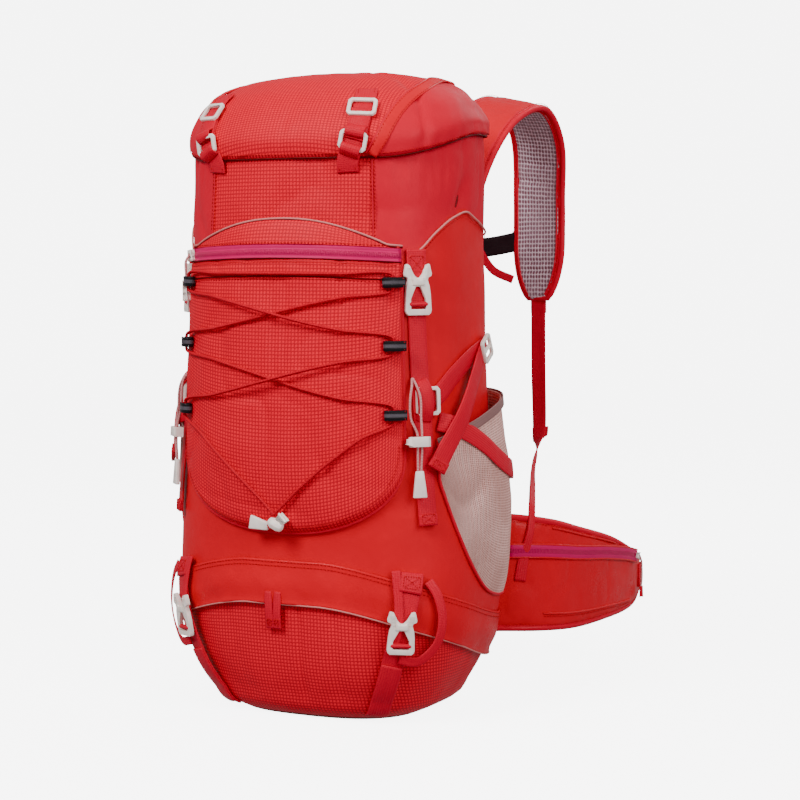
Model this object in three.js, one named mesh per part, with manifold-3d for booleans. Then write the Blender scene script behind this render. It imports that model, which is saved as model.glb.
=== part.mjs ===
// A hiking backpack of about 50 litres, standing on its own base.
// Millimetres, +Z up. +X is to the right of someone who looks at the front, -Y is the front,
// +Y the side that the wearer's back rests on. The origin is on the floor under the bag's middle.
// A turn is an angle around the bag in degrees: 0 is the front, 90 the right side, 180 the back.
import * as THREE from 'three';
import { mergeVertices } from 'three/addons/utils/BufferGeometryUtils.js';
import Module from 'manifold-3d';

const wasm = await Module();
wasm.setup();

// Driving sizes of the bag and its lid
const packHeight = 600;
const bagHalfWidth = 151;
const bagFrontDepth = 107;
const bagBackDepth = 118;
const frontSquareness = 2.6;
const backSquareness = 3.2;
const bagWall = 2.8;
const hemHeight = 517;
const hemRise = 24;
const neckShare = 0.554;
const neckHeight = neckShare * (packHeight - hemHeight);
const seamHeight = 149;
const seamDrop = 62;
const lidHalfWidth = 141;
const lidFrontDepth = 101;
const lidBackDepth = 100;
const lidLean = 18;
const lidWall = 2.6;

// Driving sizes of the pockets and panels
const flapWidth = 38;
const flapWall = 2;
const pocketWall = 2;
const pocketTurn = 54;
const pocketBase = 177;
const pocketTop = 461;
const pocketTopDrop = 30;
const pocketCorner = 80;
const pocketRim = 4.5;
const pocketCrown = 9;
const zipHeight = 424.5;
const zipWidth = 13;
const meshWall = 1.6;
const meshDepth = 19;
const meshMouth = 300;
const meshMouthDrop = 38;
const meshFoot = 108;
const meshFootRise = 118;
const backPadDepth = 9;
const backPadFoot = 184;
const backPadTop = 466;

// Driving sizes of the webbing, hardware and cords
const webbingWidth = 18;
const wideWebbing = 21;
const beltWidth = 38;
const webbingThickness = 1.5;
const hardwareThickness = 3.2;
const sliderBar = 3.4;
const buckleWidth = 28;
const buckleHeight = 46;
const laceCord = 3.2;
const poleCord = 2.4;
const gap = 0.3;

// Driving sizes of the harness
const strapWidth = 64;
const strapThickness = 9;
const strapTop = 584;
const strapReach = 288;
const strapTip = 380;
const strapHalfSpacing = 88;
const wingReach = 384;
const wingHalfSpacing = 176;
const wingThickness = 10;
const wingRootHeight = 118;
const wingTipHeight = 44;
const wingFoot = 55;
const beltReach = 446;

// Steps of the faceting
const aroundSteps = 42;
const turnStep = 360 / aroundSteps;

// Sections of the bag from the floor to the lid's hem. Heights are shares of the hem's height,
// the rest shares of the bag's half width, front depth and back depth.
const bagSections = [
  { height: 0.0, width: 0.583, front: 0.64, back: 0.8 },
  { height: 0.014, width: 0.689, front: 0.75, back: 0.87 },
  { height: 0.05, width: 0.795, front: 0.84, back: 0.94 },
  { height: 0.087, width: 0.874, front: 0.9, back: 0.975 },
  { height: 0.126, width: 0.927, front: 0.935, back: 0.992 },
  { height: 0.174, width: 0.974, front: 0.963, back: 1.0 },
  { height: 0.232, width: 1.0, front: 0.981, back: 0.992 },
  { height: 0.31, width: 1.0, front: 0.991, back: 0.958 },
  { height: 0.406, width: 0.98, front: 1.0, back: 0.907 },
  { height: 0.503, width: 0.947, front: 1.0, back: 0.856 },
  { height: 0.62, width: 0.921, front: 0.991, back: 0.822 },
  { height: 0.774, width: 0.907, front: 0.972, back: 0.805 },
  { height: 0.851, width: 0.901, front: 0.944, back: 0.805 },
  { height: 0.91, width: 0.907, front: 0.925, back: 0.814 },
  { height: 1.0, width: 0.9, front: 0.9, back: 0.81 },
];

// The gathered neck above the hem, inside the lid. Rise is a share of the neck's height.
const neckSections = [
  { rise: 0.0, width: 0.9, front: 0.9, back: 0.81 },
  { rise: 0.15, width: 0.86, front: 0.85, back: 0.77 },
  { rise: 0.6, width: 0.75, front: 0.7, back: 0.64 },
  { rise: 1.0, width: 0.42, front: 0.4, back: 0.36 },
];

// The lid from its hem to its crown. Rise is a share of its height, width and depth shares of
// its half width and depths, lean a share of how far the crown lies towards the back.
const lidSections = [
  { rise: 0.0, width: 0.99, depth: 0.99, lean: 0.0 },
  { rise: 0.22, width: 1.0, depth: 1.0, lean: 0.02 },
  { rise: 0.42, width: 0.955, depth: 0.95, lean: 0.12 },
  { rise: 0.62, width: 0.885, depth: 0.87, lean: 0.32 },
  { rise: 0.78, width: 0.775, depth: 0.75, lean: 0.55 },
  { rise: 0.91, width: 0.6, depth: 0.57, lean: 0.8 },
  { rise: 1.0, width: 0.3, depth: 0.28, lean: 1.0 },
];

const fabrics = {
  ripstop: finish(0xe8384a, 0.62, 0),
  plain: finish(0xd9203a, 0.55, 0),
  zip: finish(0xc62a6c, 0.5, 0),
  webbing: finish(0xd8283c, 0.5, 0),
  keeper: finish(0x1b1719, 0.6, 0),
  cord: finish(0x9c1624, 0.7, 0),
  paleCord: finish(0xd9a5a8, 0.6, 0),
  mesh: finish(0xc8a296, 0.8, 0),
  airMesh: finish(0xc9b3be, 0.85, 0),
  plastic: finish(0xf0e2dd, 0.35, 0),
};

function finish(color, roughness, metalness) {
  return new THREE.MeshStandardMaterial({ color, roughness, metalness });
}

const { lerp, clamp, degToRad, smoothstep } = THREE.MathUtils;

function vector(x, y, z) {
  return new THREE.Vector3(x, y, z);
}

// The value of a column where the key column has a given value, straight between the rows
function lookUp(rows, keyColumn, key, column) {
  const next = rows.findIndex((row) => row[keyColumn] >= key);
  if (next === 0) return rows[0][column];
  if (next < 0) return rows.at(-1)[column];
  const low = rows[next - 1];
  const high = rows[next];
  const share = (key - low[keyColumn]) / (high[keyColumn] - low[keyColumn]);
  return lerp(low[column], high[column], share);
}

// Solids from points

function signedVolume(points, triangles) {
  const cross = new THREE.Vector3();
  return triangles.reduce((sum, [a, b, c]) => {
    cross.crossVectors(points[b], points[c]);
    return sum + points[a].dot(cross) / 6;
  }, 0);
}

// A closed geometry with its faces turned outwards
function closedGeometry(points, triangles) {
  const flipped = signedVolume(points, triangles) < 0;
  const geometry = new THREE.BufferGeometry();
  geometry.setAttribute('position', new THREE.Float32BufferAttribute(points.flatMap((p) => p.toArray()), 3));
  geometry.setIndex(triangles.flatMap(([a, b, c]) => (flipped ? [a, c, b] : [a, b, c])));
  return geometry;
}

// The triangles over a ring of points: one over its thirds, and a fan over each arc outside it
function capTriangles(start, steps) {
  const third = steps / 3;
  const triangles = [[start, start + third, start + 2 * third]];
  [0, third, 2 * third].forEach((first) => {
    for (let i = 1; i < third; i += 1) {
      triangles.push([start + first, start + first + i, start + ((first + i + 1) % steps)]);
    }
  });
  return triangles;
}

// A body from rings of points, each joined to the next. The ends are capped, or joined to each
// other, which leaves a wall open at both ends.
function ringSolid(rings, joinEnds = false) {
  const points = rings.flat();
  const triangles = [];
  const steps = rings[0].length;
  const bands = joinEnds ? rings.length : rings.length - 1;
  for (let band = 0; band < bands; band += 1) {
    const low = band * steps;
    const high = ((band + 1) % rings.length) * steps;
    for (let i = 0; i < steps; i += 1) {
      const j = (i + 1) % steps;
      triangles.push([low + i, low + j, high + j], [low + i, high + j, high + i]);
    }
  }
  if (!joinEnds) {
    triangles.push(...capTriangles(0, steps).map(([a, b, c]) => [a, c, b]));
    triangles.push(...capTriangles((rings.length - 1) * steps, steps));
  }
  return closedGeometry(points, triangles);
}

// A sheet with two faces, each a grid of points. at gives the point of a column and a row,
// both from 0 to 1, on face 0 or face 1.
function sheetSolid(columns, rows, at) {
  const points = [];
  [0, 1].forEach((face) => {
    rows.forEach((row) => columns.forEach((column) => points.push(at(column, row, face))));
  });
  const wide = columns.length;
  const tall = rows.length;
  const index = (c, r, face) => face * wide * tall + r * wide + c;
  const triangles = [];
  const quad = (a, b, c, d) => triangles.push([a, b, c], [a, c, d]);
  for (let r = 0; r < tall - 1; r += 1) {
    for (let c = 0; c < wide - 1; c += 1) {
      quad(index(c, r, 1), index(c + 1, r, 1), index(c + 1, r + 1, 1), index(c, r + 1, 1));
      quad(index(c, r, 0), index(c, r + 1, 0), index(c + 1, r + 1, 0), index(c + 1, r, 0));
    }
    quad(index(0, r, 0), index(0, r, 1), index(0, r + 1, 1), index(0, r + 1, 0));
    quad(index(wide - 1, r, 0), index(wide - 1, r + 1, 0), index(wide - 1, r + 1, 1), index(wide - 1, r, 1));
  }
  for (let c = 0; c < wide - 1; c += 1) {
    quad(index(c, 0, 0), index(c + 1, 0, 0), index(c + 1, 0, 1), index(c, 0, 1));
    quad(index(c, tall - 1, 0), index(c, tall - 1, 1), index(c + 1, tall - 1, 1), index(c + 1, tall - 1, 0));
  }
  return closedGeometry(points, triangles);
}

function evenly(count) {
  return Array.from({ length: count + 1 }, (_, i) => i / count);
}

// Cutting and joining

function toSolid(geometry) {
  const bare = geometry.clone();
  bare.deleteAttribute('normal');
  bare.deleteAttribute('uv');
  const merged = mergeVertices(bare);
  return new wasm.Manifold(new wasm.Mesh({
    numProp: 3,
    vertProperties: merged.attributes.position.array,
    triVerts: Uint32Array.from(merged.index.array),
  }));
}

const smallestEdge = 0.02;

function fromSolid(solid) {
  const mesh = solid.simplify(smallestEdge).getMesh();
  const geometry = new THREE.BufferGeometry();
  geometry.setAttribute('position', new THREE.BufferAttribute(mesh.vertProperties, 3));
  geometry.setIndex(new THREE.BufferAttribute(mesh.triVerts, 1));
  return geometry;
}

// A geometry less the cutters, which are solids already, without the slivers that a cut may leave
function cut(geometry, ...cutters) {
  const solid = cutters.reduce((rest, cutter) => rest.subtract(cutter), toSolid(geometry));
  const bodies = solid.decompose().sort((a, b) => b.volume() - a.volume());
  return fromSolid(bodies[0]);
}

function join(...geometries) {
  return fromSolid(geometries.map(toSolid).reduce((whole, solid) => whole.add(solid)));
}

// The bag's surface

function ovalRadius(turn, width, front, back) {
  const angle = degToRad(turn);
  const facesFront = Math.cos(angle) >= 0;
  const squareness = facesFront ? frontSquareness : backSquareness;
  const across = Math.abs(Math.sin(angle)) / width;
  const along = Math.abs(Math.cos(angle)) / (facesFront ? front : back);
  return (across ** squareness + along ** squareness) ** (-1 / squareness);
}

function around(turn, radius, height, shift = 0) {
  const angle = degToRad(turn);
  return vector(radius * Math.sin(angle), shift - radius * Math.cos(angle), height);
}

// How far a turn is from the front, 0 to 180
function fromFront(turn) {
  return Math.abs(((turn + 540) % 360) - 180);
}

// The lid's hem is level at the front and climbs along the sides to the back
function hemAt(turn) {
  return hemHeight + hemRise * smoothstep(fromFront(turn), 45, 100);
}

// The seam between the bag and its bottom compartment falls along the sides to the back
function seamAt(turn) {
  return seamHeight - seamDrop * smoothstep(fromFront(turn), 18, 122);
}

const sideShoulder = 0.91;

function bagPoint(turn, height) {
  const hem = hemAt(turn);
  const shoulder = sideShoulder * hemHeight;
  let rows = bagSections;
  let column = 'height';
  let key = height / hemHeight;
  if (height > hem) {
    rows = neckSections;
    column = 'rise';
    key = (height - hem) / neckHeight;
  } else if (height > shoulder) {
    key = lerp(sideShoulder, 1, (height - shoulder) / (hem - shoulder));
  }
  const width = bagHalfWidth * lookUp(rows, column, key, 'width');
  const front = bagFrontDepth * lookUp(rows, column, key, 'front');
  const back = bagBackDepth * lookUp(rows, column, key, 'back');
  return around(turn, ovalRadius(turn, width, front, back), height);
}

const probe = 0.8;

// A point at a lift above a surface that place gives for a turn and a height
function lifted(place, turn, height, lift) {
  const sideways = place(turn + probe, height).sub(place(turn - probe, height));
  const upwards = place(turn, height + probe).sub(place(turn, height - probe));
  return place(turn, height).addScaledVector(sideways.cross(upwards).normalize(), lift);
}

function onBag(turn, height, lift) {
  return lifted(bagPoint, turn, height, lift);
}

function ring(point) {
  return Array.from({ length: aroundSteps }, (_, i) => point(i * turnStep));
}

// The heights of the bag's own rings: below the seam they are level, above it they start there
const levelHeights = bagSections.map((row) => row.height * hemHeight).filter((height) => height < 68);
const upperHeights = bagSections.map((row) => row.height * hemHeight).filter((height) => height > 155);

function upperRing(height, lift) {
  return ring((turn) => onBag(turn, height === upperHeights.at(-1) ? hemAt(turn) : height, lift));
}

function neckRing(rise, lift) {
  return ring((turn) => onBag(turn, hemAt(turn) + rise * neckHeight, lift));
}

function seamRing(offset, lift) {
  return ring((turn) => onBag(turn, seamAt(turn) + offset, lift));
}

function betweenRing(share, lift) {
  return ring((turn) => onBag(turn, lerp(levelHeights.at(-1), seamAt(turn), share), lift));
}

// Everything inside the bag's outline, grown by the gap, to cut what lies on the bag
const bagBlock = toSolid(ringSolid([
  ring((turn) => bagPoint(turn, 0).setZ(-1)),
  ...levelHeights.slice(1).map((height) => ring((turn) => onBag(turn, height, gap))),
  betweenRing(0.5, gap),
  seamRing(0, gap),
  ...upperHeights.map((height) => upperRing(height, gap)),
  ...neckSections.slice(1).map((row) => neckRing(row.rise, gap)),
]));

function mainBag() {
  const outside = [
    seamRing(gap / 2, 0),
    ...upperHeights.map((height) => upperRing(height, 0)),
    ...neckSections.slice(1).map((row) => neckRing(row.rise, 0)),
  ];
  const inside = [
    neckRing(1, -bagWall),
    upperRing(upperHeights.at(-1), -bagWall),
    upperRing(upperHeights.at(-5), -bagWall),
    seamRing(gap / 2, -bagWall),
  ];
  return ringSolid([...outside, ...inside], true);
}

function bottomCompartment() {
  return ringSolid([
    ...levelHeights.map((height) => ring((turn) => (height ? onBag(turn, height, 0) : bagPoint(turn, 0)))),
    betweenRing(0.5, 0),
    seamRing(-gap / 2, 0),
    seamRing(-gap / 2, -bagWall),
    ring((turn) => onBag(turn, levelHeights.at(-1), -bagWall)),
    ring((turn) => onBag(turn, levelHeights.at(2), -bagWall)),
    ring((turn) => bagPoint(turn, 0).multiplyScalar(0.97).setZ(bagWall)),
  ]);
}

// The lid's surface. Its heights are measured from the hem as shares of the lid's own height.

function lidPoint(turn, rise) {
  const share = clamp(rise, 0, 1);
  const width = lidHalfWidth * lookUp(lidSections, 'rise', share, 'width');
  const depth = lookUp(lidSections, 'rise', share, 'depth');
  const shift = lidLean * lookUp(lidSections, 'rise', share, 'lean');
  const radius = ovalRadius(turn, width, lidFrontDepth * depth, lidBackDepth * depth);
  return around(turn, radius, lerp(hemAt(turn) - 1, packHeight, rise), shift);
}

const riseProbe = 0.02;

function onLid(turn, rise, lift) {
  const sideways = lidPoint(turn + probe, rise).sub(lidPoint(turn - probe, rise));
  const upwards = lidPoint(turn, Math.min(rise + riseProbe, 1)).sub(lidPoint(turn, rise - riseProbe));
  return lidPoint(turn, rise).addScaledVector(sideways.cross(upwards).normalize(), lift);
}

function lidRing(rise, lift) {
  return ring((turn) => onLid(turn, rise, lift));
}

function lid() {
  const outside = lidSections.map((row) => lidRing(row.rise, row.rise === 1 ? -0.4 : 0));
  const inside = [1, 0.62, 0].map((rise) => lidRing(rise, -lidWall));
  return ringSolid([...inside, ...outside]);
}

const lidBlock = toSolid(ringSolid(lidSections.map((row) => lidRing(row.rise, gap))));

// The front pocket's surface lies on the bag and stands out in a low crown. Its panels share
// their columns, and each keeps the gap to the next.

const pocketColumns = [-1, -0.975, -0.93, -0.8, -0.62, -0.42, -0.2, 0, 0.2, 0.42, 0.62, 0.8, 0.93, 0.975, 1];

function pocketLow(turn) {
  const share = Math.min(Math.abs(turn) / pocketTurn, 1);
  return pocketBase + pocketCorner * (1 - (1 - share ** 2.5) ** 0.4);
}

function zipLow(turn) {
  return zipHeight - 3 * (turn / pocketTurn) ** 2;
}

function pocketHigh(turn) {
  const top = pocketTop - pocketTopDrop * (Math.abs(turn) / pocketTurn) ** 2.4;
  return Math.max(top, zipLow(turn) + zipWidth + 2);
}

// How far the pocket's outer face stands off the bag
function pocketLift(turn, height) {
  const side = clamp(1 - Math.abs(turn) / pocketTurn, 0, 1);
  const foot = clamp((height - pocketLow(turn)) / pocketCorner, 0, 1);
  const head = clamp((pocketHigh(turn) - height) / pocketCorner, 0, 1);
  const edge = Math.min(side * 40, foot * 14, 1);
  const crown = Math.sqrt(Math.min(side * 1.6, 1)) * Math.sqrt(foot) * Math.sqrt(Math.min(head * 2, 1));
  return pocketWall + gap + pocketRim * edge + pocketCrown * crown;
}

function pocketSheet(low, high, rows, innerLift) {
  return sheetSolid(pocketColumns, rows, (column, row, face) => {
    const turn = column * pocketTurn;
    const height = lerp(low(turn), high(turn), row);
    const outer = pocketLift(turn, height);
    return onBag(turn, height, face ? outer : innerLift(outer));
  });
}

const pocketInside = (outer) => Math.max(outer - pocketWall, -0.6);

function frontPocket() {
  const rows = [0, 0.03, 0.1, 0.24, 0.46, 0.72, 1];
  return cut(pocketSheet(pocketLow, (turn) => zipLow(turn) - gap, rows, pocketInside), bagBlock);
}

function frontZip() {
  return cut(pocketSheet(zipLow, (turn) => zipLow(turn) + zipWidth, [0, 1], pocketInside), bagBlock);
}

function frontYoke() {
  const low = (turn) => zipLow(turn) + zipWidth + gap;
  return cut(pocketSheet(low, pocketHigh, [0, 0.5, 1], pocketInside), bagBlock);
}

const pocketBlock = toSolid(sheetSolid(pocketColumns, [0, 0.03, 0.1, 0.22, 0.45, 0.7, 0.87, 1], (column, row, face) => {
  const turn = column * pocketTurn * 1.01;
  const height = lerp(pocketLow(turn), pocketHigh(turn), row);
  return onBag(turn, height, face ? pocketLift(turn, height) + gap : -1);
}));

// A sheet whose columns lie on the bag's own, from one turn step to another, so that its inner
// face follows the bag's facets
function alignedSheet(firstStep, lastStep, rows, at) {
  return sheetSolid(evenly(lastStep - firstStep), rows, (column, row, face) => {
    const step = lerp(firstStep, lastStep, column);
    return at(step * turnStep, row, face, Math.min(column, 1 - column));
  });
}

// The storm flap hangs from the seam over the bottom compartment's zip
const flapSteps = Math.round(119 / turnStep);
const flapOverlap = 2;
const flapStandOff = 1.2;

function flapSheet(inner, outer) {
  return alignedSheet(-flapSteps, flapSteps, [0, 0.5, 1], (turn, row, face) => {
    const height = seamAt(turn) - lerp(flapWidth, -flapOverlap, row);
    const standOff = flapStandOff * Math.min(1, 2 - 2 * row);
    return onBag(turn, height, face ? standOff + outer : standOff + inner);
  });
}

function stormFlap() {
  return flapSheet(gap * 1.5, gap * 1.5 + flapWall);
}

const flapBlock = toSolid(flapSheet(-flapStandOff - 1, gap * 2.5 + flapWall));

// The padded back panel
const backPadSteps = Math.round(44 / turnStep);
const backPadEdge = 2.5;

function backSheet(inner, grow) {
  const rows = [backPadFoot - grow, ...upperHeights.filter((h) => h > backPadFoot && h < backPadTop), backPadTop + grow];
  const shares = rows.map((height) => (height - rows[0]) / (rows.at(-1) - rows[0]));
  const middle = aroundSteps / 2;
  return alignedSheet(middle - backPadSteps, middle + backPadSteps, shares, (turn, row, face, side) => {
    const height = lerp(rows[0], rows.at(-1), row);
    const padded = side > 0 && row > 0 && row < 1;
    return onBag(turn, height, face ? (padded ? backPadDepth : backPadEdge) + grow : inner);
  });
}

function backPanel() {
  return backSheet(gap * 1.5, 0);
}

const backPadBlock = toSolid(backSheet(-1, gap));

// The side mesh pockets: slack sheets sewn along the front, foot and back, open at the mouth

const meshFront = 67;
const meshBack = 126;

function meshLow(turn) {
  const share = clamp((turn - meshFront) / (meshBack - meshFront), 0, 1);
  return meshFoot + meshFootRise * (1 - share) ** 4;
}

function meshHigh(turn) {
  const share = clamp((turn - meshFront) / (meshBack - meshFront), 0, 1);
  return meshMouth - meshMouthDrop * (1 - share) ** 1.6;
}

function meshLift(turn, height) {
  const across = clamp((turn - meshFront) / (meshBack - meshFront), 0, 1);
  const upward = clamp((height - meshLow(turn)) / (meshHigh(turn) - meshLow(turn)), 0, 1);
  const swell = Math.sin(Math.PI * across) ** 0.75 * Math.sin(Math.PI * Math.min(upward * 0.62, 0.5)) ** 0.8;
  return meshWall + gap + meshDepth * swell * (1 - 0.25 * upward ** 2);
}

const meshColumns = [0, 0.05, 0.16, 0.33, 0.5, 0.67, 0.84, 0.95, 1];
const meshRows = [0, 0.08, 0.25, 0.5, 0.76, 1];

function meshSheet(side, outer, inner) {
  return sheetSolid(meshColumns, meshRows, (column, row, face) => {
    const turn = lerp(meshFront, meshBack, column);
    const height = lerp(meshLow(turn), meshHigh(turn), row);
    const lift = meshLift(turn, height);
    return onBag(side * turn, height, face ? lift + outer : inner(lift));
  });
}

function meshPocket(side) {
  return cut(meshSheet(side, 0, (lift) => Math.max(lift - meshWall, -0.6)), bagBlock);
}

const meshBlock = { 1: toSolid(meshSheet(1, gap, () => -1)), '-1': toSolid(meshSheet(-1, gap, () => -1)) };

// Webbing

// Stations along a smooth line through points of turn, height and lift on a surface
function surfaceStations(on, path, count) {
  const line = new THREE.CatmullRomCurve3(path.map(([turn, height, lift]) => vector(turn, height, lift)), false, 'centripetal');
  const place = (t) => {
    const p = line.getPoint(t);
    return { middle: on(p.x, p.y, p.z), above: on(p.x, p.y, p.z + 1) };
  };
  return evenly(count).map((t) => {
    const { middle, above } = place(t);
    const ahead = place(Math.min(t + 0.01, 1)).middle.sub(place(Math.max(t - 0.01, 0)).middle).normalize();
    const out = above.sub(middle).normalize();
    const across = vector().crossVectors(ahead, out).normalize();
    return { middle, across, out };
  });
}

// Stations along a smooth line through rows of a free strap: its middle, and the way it faces
function freeStations(rows, count) {
  const line = new THREE.CatmullRomCurve3(rows.map((row) => vector(...row.at)), false, 'centripetal');
  const facing = new THREE.CatmullRomCurve3(rows.map((row) => vector(...row.face)), false, 'centripetal');
  return evenly(count).map((t) => {
    const ahead = line.getTangent(t);
    const across = vector().crossVectors(ahead, facing.getPoint(t)).normalize();
    return { middle: line.getPoint(t), across, out: vector().crossVectors(across, ahead).normalize() };
  });
}

// A flat strap along stations, its inner face on them. width and thickness may change along it,
// and crown says how much of its thickness it loses at its edges.
function strap(stations, width, thickness, crown = 0) {
  const columns = crown ? [0, 0.1, 0.5, 0.9, 1] : [0, 1];
  const rows = stations.map((_, i) => i / (stations.length - 1));
  const size = (value, row) => (typeof value === 'function' ? value(row) : value);
  return sheetSolid(columns, rows, (column, row, face) => {
    const { middle, across, out } = stations[Math.round(row * (stations.length - 1))];
    const edge = Math.abs(column * 2 - 1) ** 3;
    const lift = face * size(thickness, row) * (1 - crown * edge);
    return middle.clone().addScaledVector(across, (column - 0.5) * size(width, row)).addScaledVector(out, lift);
  });
}

function webbingOnBag(path, width, count) {
  return strap(surfaceStations(onBag, path, count), width, webbingThickness);
}

// The lid's two straps run from the lid's top over its hem to the bag
const lidStraps = [
  { name: 'left', top: -52.5, hem: -41, lean: 6 },
  { name: 'right', top: 42, hem: 33.5, lean: -10 },
];
const lidStrapTop = 0.73;
const lidStrapEnd = 17;
const lidSlider = { width: 27, height: 19, share: 0.7 };
const lidLock = { width: 26, height: 18, share: 0.24 };

function lidStrap({ top, hem }) {
  const drop = (turn, rise) => ({
    middle: onLid(turn, rise, 0),
    out: onLid(turn, rise, 1).sub(onLid(turn, rise, 0)),
    turn,
  });
  const onTop = [1, 0.75, 0.5, 0.25, 0].map((share) => drop(lerp(hem, top, share), lidStrapTop * share));
  const below = [0.5, 1].map((share) => {
    const height = hemAt(hem) - lidStrapEnd * share;
    return { middle: onBag(hem, height, lerp(3, 0, share)), out: onBag(hem, height, 1).sub(onBag(hem, height, 0)) };
  });
  const points = [...onTop, ...below];
  const rows = points.map(({ middle, out }) => ({ at: middle.toArray(), face: out.toArray() }));
  return cut(strap(freeStations(rows, 11), wideWebbing - 1, webbingThickness + gap), lidBlock, bagBlock);
}

// Hardware. Each flat piece is drawn upright in its own plane, its thickness towards +Z.

function framePath(target, width, height, corner) {
  const x = width / 2;
  const y = height / 2;
  target.moveTo(-x + corner, -y);
  target.lineTo(x - corner, -y);
  target.lineTo(x, -y + corner);
  target.lineTo(x, y - corner);
  target.lineTo(x - corner, y);
  target.lineTo(-x + corner, y);
  target.lineTo(-x, y - corner);
  target.lineTo(-x, -y + corner);
  target.closePath();
  return target;
}

function plate(shape, thickness) {
  return new THREE.ExtrudeGeometry(shape, { depth: thickness, bevelEnabled: false, steps: 1, curveSegments: 4 });
}

// An oblong frame with one window, such as a slider or a ladder lock
function frame(width, height, bar) {
  const shape = framePath(new THREE.Shape(), width, height, bar * 0.8);
  shape.holes.push(framePath(new THREE.Path(), width - 2 * bar, height - 2 * bar, bar * 0.3));
  return plate(shape, hardwareThickness);
}

// The outline of a side release buckle and its window, as shares of its half width and half height
const buckleOutline = [
  { x: -0.72, y: -1.0 }, { x: 0.72, y: -1.0 }, { x: 0.9, y: -0.8 }, { x: 0.82, y: 0.12 },
  { x: 0.7, y: 0.42 }, { x: 0.98, y: 0.55 }, { x: 0.78, y: 1.0 }, { x: 0.56, y: 0.96 },
  { x: 0.12, y: 0.44 }, { x: -0.12, y: 0.44 }, { x: -0.56, y: 0.96 }, { x: -0.78, y: 1.0 },
  { x: -0.98, y: 0.55 }, { x: -0.7, y: 0.42 }, { x: -0.82, y: 0.12 }, { x: -0.9, y: -0.8 },
];
const buckleWindow = [
  { x: -0.52, y: -0.76 }, { x: 0.52, y: -0.76 }, { x: 0.52, y: -0.36 }, { x: 0.14, y: 0.16 },
  { x: -0.14, y: 0.16 }, { x: -0.52, y: -0.36 },
];

function sideReleaseBuckle(length) {
  const toPoint = ({ x, y }) => new THREE.Vector2((x * buckleWidth) / 2, (y * length) / 2);
  const shape = new THREE.Shape(buckleOutline.map(toPoint));
  shape.holes.push(new THREE.Path(buckleWindow.map(toPoint)));
  return plate(shape, hardwareThickness + 1);
}

// A place on a surface: its +Y runs up the surface and its +Z out of it
function seatOn(on, turn, height, lift, upStep = 1) {
  const middle = on(turn, height, lift);
  const out = on(turn, height, lift + 1).sub(middle).normalize();
  const upwards = on(turn, height + upStep, lift).sub(middle);
  upwards.addScaledVector(out, -upwards.dot(out)).normalize();
  const across = vector().crossVectors(upwards, out).normalize();
  return new THREE.Matrix4().makeBasis(across, upwards, out).setPosition(middle);
}

// Sets a flat piece on a surface, leaned by a spin in degrees
function setOn(geometry, on, turn, height, lift, spin = 0, upStep = 1) {
  return geometry.clone().rotateZ(degToRad(spin)).applyMatrix4(seatOn(on, turn, height, lift, upStep));
}

// A frame on a lid strap, leaned along the strap's own line
function lidHardware({ top, hem, lean }, { width, height, share }) {
  const lift = webbingThickness + 2 * gap + 0.7;
  const piece = frame(width, height, sliderBar);
  return setOn(piece, onLid, lerp(hem, top, share), lidStrapTop * share, lift, lean, riseProbe);
}

// A tube along a smooth line
function tube(points, diameter, steps, sides) {
  const line = new THREE.CatmullRomCurve3(points, false, 'centripetal');
  const section = new THREE.Shape(evenly(sides).slice(0, -1).map((share) => {
    const angle = share * 2 * Math.PI;
    return new THREE.Vector2(Math.cos(angle) * diameter / 2, Math.sin(angle) * diameter / 2);
  }));
  return new THREE.ExtrudeGeometry(section, { steps, extrudePath: line, bevelEnabled: false });
}

// The lacing over the front pocket

const laceHeights = [404, 348, 286];
const laceTurn = 50.5;
const laceReach = 20.5;
const laceLoopWidth = 9.5;
const laceLoopHeight = 7.5;
const laceLoopWall = 1.6;
const laceLift = 1;
const laceCrossing = 5.2;
const laceLockHeight = 192;

// How far a point over the pocket lies from the bag, with a lift above the pocket's face
function onPocket(turn, height, lift) {
  return onBag(turn, height, pocketLift(turn, height) + lift);
}

// A flattened loop of webbing lying towards the pocket's middle, with the cord through its bend
function laceLoop(side, height) {
  const shape = framePath(new THREE.Shape(), laceReach, laceLoopHeight, 2.2);
  const window = framePath(new THREE.Path(), laceReach - 2 * laceLoopWall, laceLoopHeight - 2 * laceLoopWall, 1.2);
  shape.holes.push(window);
  const loop = plate(shape, laceLoopWidth).translate(0, 0, -laceLoopWidth / 2).rotateX(Math.PI / 2);
  return cut(setOn(loop, onPocket, side * laceTurn, height, laceLoopHeight / 2), pocketBlock, bagBlock);
}

// The cord runs from the lock up through the loops, crossing from side to side, and back down.
// It passes up or down through each loop near its bend. over lifts a leg across one below it.
const laceBend = 2.2;
const lacePass = laceLoopWidth / 2 + 2.4;
const laceLegs = [
  { side: 1, loop: 2, way: 1, over: 0 },
  { side: -1, loop: 1, way: 1, over: 0 },
  { side: 1, loop: 0, way: 1, over: 0 },
  { side: -1, loop: 0, way: -1, over: 0 },
  { side: 1, loop: 1, way: -1, over: laceCrossing },
  { side: -1, loop: 2, way: -1, over: laceCrossing },
];

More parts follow.
